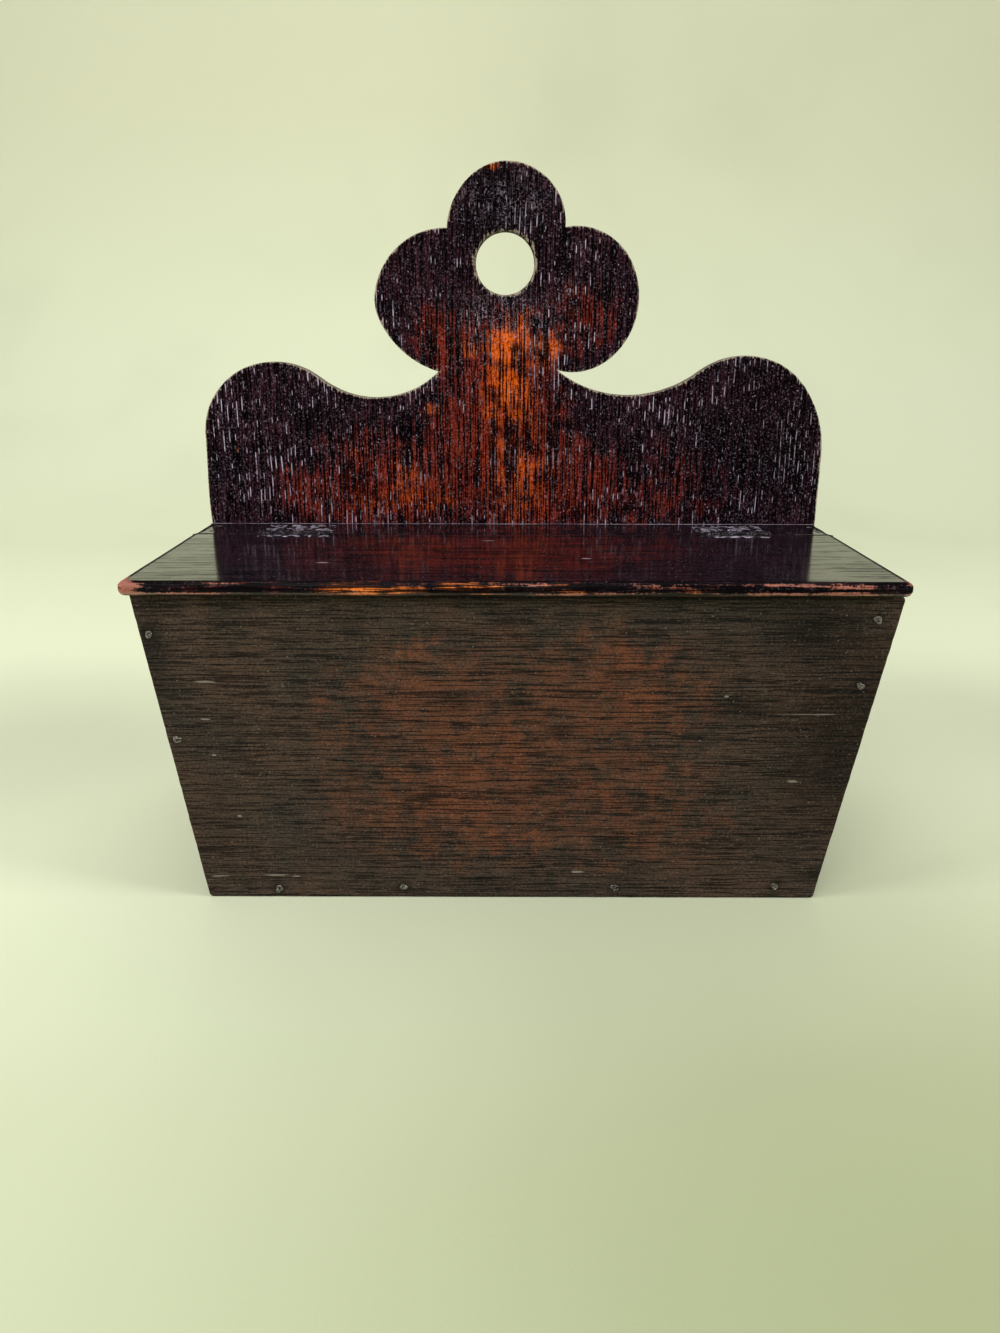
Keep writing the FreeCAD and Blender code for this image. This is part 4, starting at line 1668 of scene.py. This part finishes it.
@dataclass
class HingeLeaf(Piece):
    """Forged leaf: its flat is crumpled by age, and its knuckles stay true."""

    name: str
    node: str
    body: str
    finish: IronFinish
    seed: int
    slot: str = "hinge_iron"
    voxel: float = 0.42
    crumple: float = 0.28
    lump: float = 2.6
    knuckle_reach: float = 2.4
    settle_reach: float = 4.4
    ragged: float = 0.5
    lip_reach: float = 0.8
    lip_shine: float = 2.0

    def build(self) -> bpy.types.Object:
        """Make the leaf's mesh.

        Returns:
            The piece, in the scene.
        """
        piece = bpy.data.objects.new(self.name, frame["nodes"][self.node].data.copy())
        bpy.context.scene.collection.objects.link(piece)
        shaped = bmesh.new()
        shaped.from_mesh(piece.data)
        bmesh.ops.remove_doubles(shaped, verts=shaped.verts, dist=1e-6)
        shaped.to_mesh(piece.data)
        shaped.free()
        remesh = piece.modifiers.new("even", "REMESH")
        remesh.mode = "VOXEL"
        remesh.voxel_size = self.voxel * MM
        applied(piece)
        self._crumple(piece.data)
        return piece

    def _crumple(self, mesh: bpy.types.Mesh) -> None:
        """Move the flat's surface, wear its border and paint a highlight along the front lip of the lid's leaf.

        Args:
            mesh: The leaf's mesh.
        """
        axis = np.array(frame["joints"][0]["pos_m"][1:]) / MM
        flat = np.zeros(len(mesh.vertices) * 3)
        mesh.vertices.foreach_get("co", flat)
        points = flat.reshape(-1, 3) / MM
        normals = np.zeros(len(mesh.vertices) * 3)
        mesh.vertices.foreach_get("normal", normals)
        normals = normals.reshape(-1, 3)
        away = np.linalg.norm(points[:, 1:] - axis, axis=1)
        free = eased(away, self.knuckle_reach, self.settle_reach)
        broad = Drift(self.seed, self.lump * 1.6, self.lump).at(points[:, 0], points[:, 1])
        small = Drift(self.seed + 1, self.lump * 0.7, self.lump * 0.45)
        small = small.at(points[:, 0], points[:, 1])
        ridge = 1 - np.abs(2 * broad - 1) * 1.4 + (small - 0.5) * 0.9
        upward = np.clip(normals[:, 2], 0, 1)
        points[:, 2] += free * upward * self.crumple * (ridge - 0.55)
        level = np.linalg.norm(normals[:, :2], axis=1)
        bite = Drift(self.seed + 2, 2.2, 2.2).at(points[:, 0], points[:, 1] + 50)
        points[:, :2] -= (normals[:, :2].T * free * level * self.ragged * bite).T
        mesh.vertices.foreach_set("co", (points * MM).ravel())
        # Painted highlight along the front lip of the lid's leaf, on top of the rubbed ridges facing up.
        front = points[:, 1].min()
        lip = np.exp(-np.abs(points[:, 1] - front) / self.lip_reach) * (points[:, 1].mean() < axis[0])
        shine = eased(ridge, 0.5, 1.0) * upward * free + 0.25 * (1 - free) + self.lip_shine * lip
        raised_and_lit = mesh.attributes.new("raised_and_lit", "FLOAT", "POINT")
        raised_and_lit.data.foreach_set("value", np.clip(shine, 0, 1.4).astype(np.float32))
        mesh.update()


@dataclass
class NailRow(Piece):
    """Row of forged nails or tacks, each with its own hammered head."""

    # Rings of a head: share of the radius, level, lean and shine; the shine is a painted highlight, strongest on
    # the crown.
    HEAD_RINGS = ((0.35, 0.0, 1.0, 0.75), (0.7, -0.05, 0.9, 0.9), (0.92, -0.16, 0.7, 1.0),
                  (1.0, -0.34, 0.3, 0.5))
    FACET_NICK = 0.07
    CROWN_SHINE = 0.7

    node: str
    faces: Way
    body: str
    finish: IronFinish
    seed: int
    slot: str = "nail_iron"
    head_depth: float = 0.9
    shank_width: float = 2.0
    tip_width: float = 0.8
    sides: int = 16
    unevenness: float = 0.16
    facet: float = 0.16
    sink: float = 0.06

    def nails(self) -> list[Driven]:
        """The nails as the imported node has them."""
        return read_nails(self.node, self.faces)

    def build(self) -> bpy.types.Object:
        """Make the nails' mesh.

        Returns:
            The piece, in the scene.
        """
        points, faces, raised_and_lit = [], [], []
        rng = np.random.default_rng(self.seed)
        for nail in self.nails():
            own, own_faces, own_raised_and_lit = self._one(nail, rng)
            start = sum(len(block) for block in points)
            points.append(own)
            raised_and_lit.append(own_raised_and_lit)
            faces.extend([[corner + start for corner in face] for face in own_faces])
        values = {"raised_and_lit": np.concatenate(raised_and_lit)}
        return finished(f"{self.node}_heads", np.concatenate(points), faces, values)

    def _one(self, nail: Driven,
             rng: np.random.Generator) -> tuple[np.ndarray, list[list[int]], np.ndarray]:
        """Shape of one nail.

        Args:
            nail: Its place and size.
            rng: Source of its unevenness.

        Returns:
            Its points, its faces and how rubbed and lit each point is, the light being painted highlight on the
            head.
        """
        skew = (0.31, 0.12, 0.94) if abs(nail.faces[2]) < 0.8 else (1.0, 0.2, 0.0)
        side = np.cross(nail.faces, skew)
        side /= np.linalg.norm(side)
        up = np.cross(nail.faces, side)
        angles = np.arange(self.sides) / self.sides * 2 * math.pi
        phase = rng.random(3) * 6.28
        lobes = np.sin(2 * angles + phase[0]) + 0.6 * np.sin(3 * angles + phase[1])
        swell = 1 + self.unevenness * lobes
        swell -= self.unevenness * 0.8
        tilt = self.facet * np.cos(angles - phase[2])
        rings, rubbed_and_lit = [], []
        for share, level, lean, shine in (*self.HEAD_RINGS, (0.96, -self.head_depth, 0.0, 0.0)):
            height = level - self.sink + np.minimum(0.0, tilt * lean)
            height = height - self.FACET_NICK * rng.random(self.sides) * lean
            rings.append((swell * nail.radius * share, height))
            rubbed_and_lit.append(np.full(self.sides, shine))
        square = 1 / np.maximum(np.abs(np.cos(angles)), np.abs(np.sin(angles)))
        shank = ((self.shank_width, -self.head_depth - 0.05), (self.tip_width, -nail.length + 0.1))
        for width, level in shank:
            rings.append((square * width / 2, np.full(self.sides, level)))
            rubbed_and_lit.append(np.zeros(self.sides))
        points = [nail.head + nail.faces * (0.02 - self.sink - self.facet * 0.4)]
        for reach, height in rings:
            for index in range(self.sides):
                spoke = side * math.cos(angles[index]) + up * math.sin(angles[index])
                points.append(nail.head + spoke * reach[index] + nail.faces * height[index])
        points.append(nail.head - nail.faces * nail.length)
        faces = []
        for index in range(self.sides):
            after = (index + 1) % self.sides
            faces.append([0, 1 + index, 1 + after])
            for ring in range(len(rings) - 1):
                first = 1 + ring * self.sides
                second = first + self.sides
                faces.append([first + index, second + index, second + after, first + after])
            last = 1 + (len(rings) - 1) * self.sides
            faces.append([last + after, last + index, len(points) - 1])
        rubbed_and_lit = np.concatenate([[self.CROWN_SHINE], *rubbed_and_lit, [0.0]])
        return np.array(points), faces, rubbed_and_lit


@dataclass(frozen=True)
class Lamp:
    """Soft square lamp: where it hangs, where it points, its sides and its power."""

    name: str
    place: Span
    aim: Span
    size: tuple[float, float]
    power: float
    colour: Span = (1.0, 1.0, 1.0)

    def hang(self) -> None:
        """Put the lamp in the scene."""
        light = bpy.data.lights.new(self.name, "AREA")
        light.shape = "RECTANGLE"
        light.size, light.size_y = self.size
        light.energy = self.power
        light.color = self.colour
        lamp = bpy.data.objects.new(self.name, light)
        lamp.location = self.place
        lamp.rotation_euler = (Vector(self.aim) - Vector(self.place)).to_track_quat("-Z", "Y").to_euler()
        bpy.context.scene.collection.objects.link(lamp)
        LOG.info("lamp %s", self.name)


@dataclass
class Studio:
    """Plain pale floor that curves up into a backdrop, soft lamps and the camera. Lengths are metres."""

    half_width: float = 7.0
    columns: int = 9
    rows: tuple[float, ...] = (-7.0, -0.6, 0.0)
    bend_start: float = 0.9
    bend_radius: float = 0.7
    bend_steps: int = 12
    height: float = 3.0
    paper: PaperFinish = PaperFinish()
    world_level: float = 0.42
    world_light: Colour = tone(250, 250, 246)
    world_seen: Colour = tone(222, 228, 204)
    camera_place: Span = (-0.0066, -0.5460, 0.2834)
    camera_dip: float = 18.16
    camera_roll: float = -0.10
    camera_turn: float = 0.11
    focal_pixels: float = 998.9
    photo_height: float = 1333.0
    sensor: float = 36.0
    lamps: tuple[Lamp, ...] = (
        Lamp("front_softbox", (-0.5, -1.6, 1.9), (0.0, 0.0, 0.15), (1.6, 1.2), 18.0),
        Lamp("overhead_softbox", (0.0, 0.25, 2.4), (0.0, 0.0, 0.0), (1.8, 1.8), 11.0),
        Lamp("left_fill", (-1.5, -0.5, 0.8), (0.0, 0.0, 0.42), (0.6, 0.6), 13.0),
        Lamp("right_fill", (1.5, -0.4, 0.8), (0.0, 0.0, 0.42), (0.6, 0.6), 15.0),
    )

    def floor(self) -> None:
        """Lay the floor and backdrop as one curved sheet."""
        profile = [(y, 0.0) for y in (*self.rows, self.bend_start)]
        for angle in np.radians(np.linspace(90 / self.bend_steps, 90, self.bend_steps)):
            profile.append((self.bend_start + self.bend_radius * math.sin(angle),
                            self.bend_radius * (1 - math.cos(angle))))
        profile.append((self.bend_start + self.bend_radius, self.height))
        columns = np.linspace(-self.half_width, self.half_width, self.columns)
        points = np.array([(x, y, z) for x in columns for y, z in profile])
        rows = len(profile)
        faces = []
        for column in range(len(columns) - 1):
            for row in range(rows - 1):
                first = column * rows + row
                faces.append([first, first + rows, first + rows + 1, first + 1])
        sheet = finished("paper_sheet", points / MM, faces)
        sheet.data.materials.append(self.paper.make())
        LOG.info("paper sheet")

    def air(self) -> None:
        """Light from all round, seen as pale paper where the camera or a gloss looks at it."""
        world = bpy.data.worlds.new("pale_air")
        bpy.context.scene.world = world
        shop = NodeShop(world)
        path = {name: shop.add("ShaderNodeLightPath", output=name)
                for name in ("Is Camera Ray", "Is Glossy Ray", "Is Transmission Ray")}
        seen = path["Is Camera Ray"].most(path["Is Glossy Ray"]).most(path["Is Transmission Ray"])
        inputs = {"Color": self.world_light, "Strength": self.world_level}
        light = shop.add("ShaderNodeBackground", None, inputs)
        pale = shop.add("ShaderNodeBackground", None, {"Color": self.world_seen, "Strength": 1.0})
        mixed = shop.add("ShaderNodeMixShader", None, {0: seen, 1: light, 2: pale})
        shop.add("ShaderNodeOutputWorld", None, {"Surface": mixed})

    def camera(self) -> None:
        """Set the camera at the photograph's angle."""
        data = bpy.data.cameras.new("camera")
        data.sensor_fit = "VERTICAL"
        data.sensor_height = self.sensor
        data.sensor_width = self.sensor
        data.lens = self.focal_pixels * self.sensor / self.photo_height
        data.clip_start = 0.01
        eye = bpy.data.objects.new("camera", data)
        eye.location = self.camera_place
        eye.rotation_euler = [math.radians(angle) for angle in
                              (90 - self.camera_dip, self.camera_roll, self.camera_turn)]
        bpy.context.scene.collection.objects.link(eye)
        bpy.context.scene.camera = eye
        LOG.info("camera")

    def build(self) -> None:
        """Make the whole studio."""
        bpy.context.scene.view_settings.view_transform = "Standard"
        self.camera()
        self.floor()
        self.air()
        for lamp in self.lamps:
            lamp.hang()


LID_TOP = 173.7

BACKBOARD_OAK = OakFinish(
    name="backboard_oak_old", grain=Axis.Z, flat=WALL, seed=11.0,
    body=tone(62, 33, 41), shade=tone(33, 18, 27), warm=tone(126, 43, 27), glow=tone(232, 98, 20),
    # The pale fleck colour stands for wax and dust in the pores and for painted glints.
    pore=tone(6, 3, 5), fleck_and_glint=tone(208, 194, 214), rim=tone(166, 150, 132),
    raw_side=Way.BACK, raw_below=166.0,
    line_width=1.2, line_length=60.0, line_cover=0.51, line_contrast=0.94,
    dash_gap=2.9, dash_width=0.66, dash_length=17.0, dash_cover=0.45, dash_contrast=0.95,
    grit=0.8, grit_light=0.2, dust_and_highlight=0.7,
    warm_patches=patch_list(
        (-8, 66, 62, 88, 1.2), (-72, 24, 84, 54, 1.05),
        (-130, 16, 40, 30, 0.5), (85, 20, 80, 44, 0.55),
        (43, 122, 30, 34, 0.65), (-44, 112, 30, 30, 0.65),
        (24, 22, 60, 50, 0.9),
        level=LID_TOP,
    ),
    glow_patches=patch_list(
        (-3, 107, 19, 14, 1.6), (2, 120, 18, 12, 0.5),
        (-3, 80, 25, 36, 0.9), (4, 30, 34, 48, 0.5),
        (-26, 104, 10, 8, 0.9), (20, 104, 12, 15, 0.9),
        (-66, 30, 20, 18, 0.45), (-80, 12, 30, 14, 0.4),
        (-48, 14, 24, 14, 0.4), (-90, 44, 14, 10, 0.4),
        (-48, 70, 10, 6, 0.5), (-16, 203, 14, 5, 0.9),
        (-137, 33, 3.5, 3, 0.6), (-168, 45, 2.5, 3, 0.6),
        level=LID_TOP,
    ),
    dark_patches=patch_list(
        (20, 118, 8, 5, 1.1), (-50, 98, 7, 8, 0.9),
        (160, 60, 96, 120, 0.75), (-5, 176, 60, 34, 0.75),
        (-5, 134, 30, 10, 0.6), (-2, 58, 30, 12, 0.5),
        level=LID_TOP,
    ),
    bare_patches=patch_list((-3, 110, 10, 9, 1.2), level=LID_TOP),
    hairs=patch_list((-6, 122, 44, 24, 1.0), (-6, 185, 44, 20, 0.6), level=LID_TOP),
    raggedness=1.0, fleck_cover=0.56, fleck_strength=0.9, rim_strength=0.8, specular=0.012, roughness=0.36,
    crowding=0.7, short_run=1.9,
)
FRONT_OAK = OakFinish(
    name="front_oak_old", grain=Axis.X, flat=WALL, seed=27.0,
    body=tone(78, 61, 51), shade=tone(61, 54, 48), warm=tone(103, 64, 47), glow=tone(121, 71, 49),
    pore=tone(14, 12, 12), fleck_and_glint=tone(138, 130, 120), rim=tone(90, 74, 60),
    raw_side=Way.BACK, line_width=0.7, line_length=34.0, line_cover=0.44, line_contrast=0.72,
    raggedness=1.2,
    warm_patches=patch_list(
        (0, 85, 150, 100, 0.75), (60, 120, 70, 44, 0.4), (-40, 50, 80, 44, 0.45),
        (80, 40, 70, 44, 0.35), (-60, 110, 60, 40, 0.3),
    ),
    glow_patches=patch_list(
        (-36, 49, 34, 16, 0.65), (3, 34, 40, 16, 0.5), (-47, 138, 28, 12, 0.4),
        (61, 133, 30, 16, 0.5), (72, 112, 34, 16, 0.5), (-10, 84, 50, 30, 0.4),
        (-60, 70, 30, 20, 0.3), (60, 60, 40, 20, 0.3),
    ),
    dark_patches=patch_list(
        # (0, 168) is a painted shadow under the lid's overhang; (-178, 140), (170, 90), (-155, 50) and (0, 0) make
        # the left and right edges and the bottom darker.
        (23, 96, 16, 9, 0.8), (0, 168, 300, 6.0, 2.4), (-178, 140, 18, 60, 0.7),
        (110, 108, 34, 13, 0.6), (170, 90, 70, 110, 0.85), (-155, 50, 24, 80, 0.4),
        (140, 150, 60, 24, 0.5),
        (0, 0, 200, 5, 0.6), (-30, 110, 20, 10, 0.5), (20, 66, 26, 8, 0.5),
        (-88, 128, 36, 14, 0.3), (-92, 24, 50, 12, 0.35),
    ),
    scuffs_and_highlights=patch_list(
        (-153.4, 121.4, 11, 0.8, 0.9), (-155.3, 101.5, 4, 0.8, 0.9), (-152.5, 82.1, 2, 1, 0.8),
        (-142.3, 47.8, 2.5, 1, 1.0), (-155, 12.6, 9, 0.7, 0.8), (-125.4, 13.1, 8, 0.8, 0.9),
        (-114.8, 12.5, 4, 0.8, 0.9), (105.6, 114.2, 2.5, 1, 1.0), (152, 104.8, 30, 0.5, 0.7),
        (142.6, 67.9, 5, 1.5, 0.7), (33.6, 15.6, 6, 1.2, 0.8),
    ),
    hairs=patch_list((178, 155, 12, 14, 1.2)),
    dash_gap=2.7, dash_width=0.55, dash_length=26.0, dash_cover=0.47, dash_contrast=0.7,
    fleck_cover=0.76, fleck_strength=0.5, grit=0.46, grit_light=0.2,
    rim_strength=0.4, specular=0.06, roughness=0.46,
)
SIDE_OAK = {
    word: OakFinish(
        name=f"{word}_side_oak_old", grain=Axis.Y, flat=(Axis.Y, Axis.Z), seed=seed,
        body=tone(66, 49, 41), shade=tone(49, 41, 37), warm=tone(90, 54, 39), glow=tone(116, 62, 41),
        pore=tone(18, 14, 13), fleck_and_glint=tone(136, 128, 118), rim=tone(100, 80, 62), raw_side=inside,
        line_width=0.8, line_length=26.0, line_cover=0.44, line_contrast=0.75,
        warm_patches=patch_list((0, 90, 70, 70, 0.7), (30, 40, 30, 26, 0.4)),
        glow_patches=patch_list((-20, 110, 24, 14, 0.5), (20, 60, 26, 12, 0.4)),
        # Darker bands along the top, under the lid's overhang, and along the bottom.
        dark_patches=patch_list((-60, 160, 140, 6, 0.9), (0, 0, 90, 6, 0.7)),
        dash_gap=2.6, dash_width=0.7, dash_length=18.0, dash_cover=0.47,
        fleck_cover=0.77, fleck_strength=0.5, grit=0.4, grit_light=0.18, raggedness=0.9, specular=0.12,
        roughness=0.48,
    )
    for word, inside, seed in (("left", Way.RIGHT, 35.0), ("right", Way.LEFT, 41.0))
}
BOTTOM_OAK = OakFinish(
    name="bottom_oak_old", grain=Axis.X, flat=PLAN, seed=52.0,
    body=tone(92, 68, 48), shade=tone(58, 44, 33), warm=tone(104, 76, 52), glow=tone(120, 84, 56),
    pore=tone(26, 18, 14), fleck_and_glint=tone(140, 122, 100), rim=tone(110, 84, 60),
    line_cover=0.45, dash_gap=2.8, dash_length=18.0, fleck_cover=0.76, fleck_strength=0.4, specular=0.12,
    roughness=0.72,
)
LID_OAK = OakFinish(
    name="lid_oak_old", grain=Axis.X, flat=PLAN, seed=63.0,
    body=tone(38, 20, 29), shade=tone(21, 13, 22), warm=tone(80, 24, 18), glow=tone(240, 126, 52),
    pore=tone(9, 5, 9), fleck_and_glint=tone(168, 144, 152), rim=tone(176, 112, 96),
    raw_side=Way.DOWN, line_width=1.9, line_length=50.0, line_cover=0.47, line_contrast=0.9,
    raggedness=1.4, coat_ior=1.65,
    warm_patches=patch_list(
        (-10, 0, 140, 86, 1.0), (10, -40, 80, 40, 0.5), (-136, -86, 44, 6, 0.9),
        (-60, -86, 90, 6, 0.7), (90, -86, 90, 6, 0.4),
    ),
    glow_patches=patch_list(
        (-72, -86, 30, 6, 1.1), (-22, -86, 34, 6, 1.1), (24, -86, 20, 5, 0.8),
        (96, -86, 60, 5, 0.3),
        # (160, -86) adds a painted sheen at the nose's right end.
        (160, -86, 30, 5, 0.25),
    ),
    # Rim patches on the nose: rubbed wood together with a painted sheen and pale highlights along it, strongest at
    # the ends and the right half.
    rim_patches=patch_list(
        (-186, -80, 12, 16, 1.4), (-150, -86, 50, 6, 0.4), (188, -80, 6, 10, 0.8),
        (100, -86, 90, 6, 0.6), (20, -86, 60, 6, 0.3), (164, -86, 28, 6, 0.7),
    ),
    scuffs_and_highlights=patch_list((-14, 19, 6, 1.5, 1.0), (38, -29, 4, 2, 1.1), (-99, -40, 6, 2, 1.0)),
    dash_gap=2.3, dash_width=0.55, dash_length=20.0, dash_cover=0.5, dash_contrast=0.7,
    fleck_cover=0.74, fleck_strength=0.7, grit=0.7, grit_light=0.2, rim_dark=0.95, rim_level=1.35,
    rim_strength=0.8, specular=0.0, roughness=0.4, coat=1.0, coat_roughness=0.12, line_depth=0.12,
)
RAIL_OAK = replace(
    LID_OAK, name="rail_oak_old", seed=71.0,
    body=tone(36, 20, 28), shade=tone(20, 13, 21), warm=tone(62, 23, 21), glow=tone(120, 60, 30),
    pore=tone(7, 4, 6), fleck_and_glint=tone(176, 162, 178), rim=tone(96, 70, 62),
    warm_patches=patch_list((-10, 57, 100, 30, 0.6)), glow_patches=(), rim_patches=(),
    # A thin pale line along the rail's back edge at the backboard's foot: painted highlight with some dust.
    scuffs_and_highlights=patch_list((0, 75.6, 420, 3.2, 4.0)),
    rim_dark=0.0, rim_level=1.1, rim_strength=0.5, coat_roughness=0.11,
)
# The bright colours of the iron are rubbed metal together with painted highlights.
HINGE_IRON = IronFinish("hinge_iron_old", tone(240, 226, 250), tone(14, 10, 16), tone(62, 34, 32), metal=0.1)
PIN_IRON = IronFinish("pin_iron_old", tone(120, 112, 120), tone(30, 25, 28), tone(70, 44, 34), lump=0.9)
NAIL_IRON = IronFinish("nail_iron_old", tone(176, 170, 158), tone(18, 15, 14), tone(52, 34, 26),
                       lump=0.8, rub=0.72)
TACK_IRON = IronFinish("tack_iron_old", tone(120, 112, 126), tone(20, 16, 18), tone(56, 36, 30),
                       lump=0.7, rub=0.7)


class CandleBox:
    """The whole box: boards, hinges and nails in the order that they are made."""

    LEAVES = (("left", "rail", "box"), ("left", "lid", "lid"),
              ("right", "rail", "box"), ("right", "lid", "lid"))
    NAILS = {
        Way.FRONT: ("front_left_nails", "front_right_nails", "front_foot_nails"),
        Way.BACK: ("back_left_nails", "back_right_nails", "back_foot_nails", "back_rail_nails"),
        Way.LEFT: ("left_foot_nails",),
        Way.RIGHT: ("right_foot_nails",),
        Way.UP: ("rail_left_nails", "rail_right_nails"),
    }
    NAIL_SEED = 300
    TACK_SEED = 340
    LEAF_SEED = 200

    def __init__(self) -> None:
        """List the nails, because the boards are dented round them."""
        rows = [(node, way) for way, nodes in self.NAILS.items() for node in nodes]
        self.nail_rows = [NailRow(node, way, "box", NAIL_IRON, self.NAIL_SEED + number)
                          for number, (node, way) in enumerate(rows)]

    def nails_in(self, way: Way) -> list[Driven]:
        """Nails whose heads look one way."""
        return [nail for row in self.nail_rows if row.faces is way for nail in row.nails()]

    def boards(self) -> list[Board]:
        """List the boards.

        Returns:
            Every board of the box.
        """
        side = {"edge_radius": 0.5, "wall_step": 6.0, "step": 1.0}
        glossy = {"edge_radius": 0.35, "edge_rings": 7, "fine": 0.8, "pore_depth": 0.018}
        leaves = {leaf: tuple(f"{hinge}_hinge_{leaf}_leaf" for hinge in ("left", "right"))
                  for leaf in ("rail", "lid")}
        return [
            Backboard("backboard_shaped", "backboard", "box", "backboard_oak", Axis.Y, Axis.Z, BACKBOARD_OAK,
                      101, edge_radius=1.0, wall_step=1.6, step=1.2, nails=self.nails_in(Way.BACK)),
            Board("front_board_worn", "front_board", "box", "front_oak", Axis.Y, Axis.X, FRONT_OAK, 111,
                  wobble=0.3, nails=self.nails_in(Way.FRONT)),
            Board("left_side_worn", "left_side_board", "box", "side_oak", Axis.Y, Axis.Y, SIDE_OAK["left"],
                  121, **side),
            Board("right_side_worn", "right_side_board", "box", "side_oak", Axis.Y, Axis.Y,
                  SIDE_OAK["right"], 131, **side),
            Board("bottom_board_worn", "bottom_board", "box", "bottom_oak", Axis.Y, Axis.X, BOTTOM_OAK, 141,
                  edge_radius=0.5, step=2.4),
            NosedBoard("lid_board_worn", "lid_board", "lid", "lid_oak", Axis.Z, Axis.X, LID_OAK, 151,
                       wave_depth=0.06, dents=8, recesses=leaves["lid"], **glossy),
            NosedBoard("rear_rail_worn", "rear_rail", "box", "lid_oak", Axis.Z, Axis.X, RAIL_OAK, 161,
                       wave_depth=0.05, dents=2, nosed_front=False, recesses=leaves["rail"],
                       nails=self.nails_in(Way.UP), **glossy),
        ]

    def hinges(self) -> list[HingeLeaf]:
        """Every leaf of the hinges."""
        return [HingeLeaf(f"{side}_{leaf}_leaf_forged", f"{side}_hinge_{leaf}_leaf", body, HINGE_IRON,
                          self.LEAF_SEED + 10 * number)
                for number, (side, leaf, body) in enumerate(self.LEAVES)]

    def tacks(self) -> list[NailRow]:
        """Every row of tacks in the hinges."""
        return [NailRow(f"{side}_{leaf}_leaf_nails", Way.UP, body, TACK_IRON, self.TACK_SEED + number,
                        slot="tack_iron", shank_width=1.2, tip_width=0.5, sink=-0.12)
                for number, (side, leaf, body) in enumerate(self.LEAVES)]

    def build(self) -> None:
        """Make and dress every piece."""
        for part in self.boards() + self.hinges() + self.nail_rows + self.tacks():
            part.dress(part.build())
        for side in ("left", "right"):
            pin = frame["nodes"][f"{side}_hinge_pin"]
            pin.data.materials.clear()
            pin.data.materials.append(PIN_IRON.make())
            LOG.info("%s_hinge_pin", side)


def main() -> None:
    """Build the studio and the candle box, logging the points and faces of each piece."""
    logging.basicConfig(level=logging.INFO, format="%(name)s %(message)s")
    Studio().build()
    CandleBox().build()


if __name__ == "__main__":
    main()
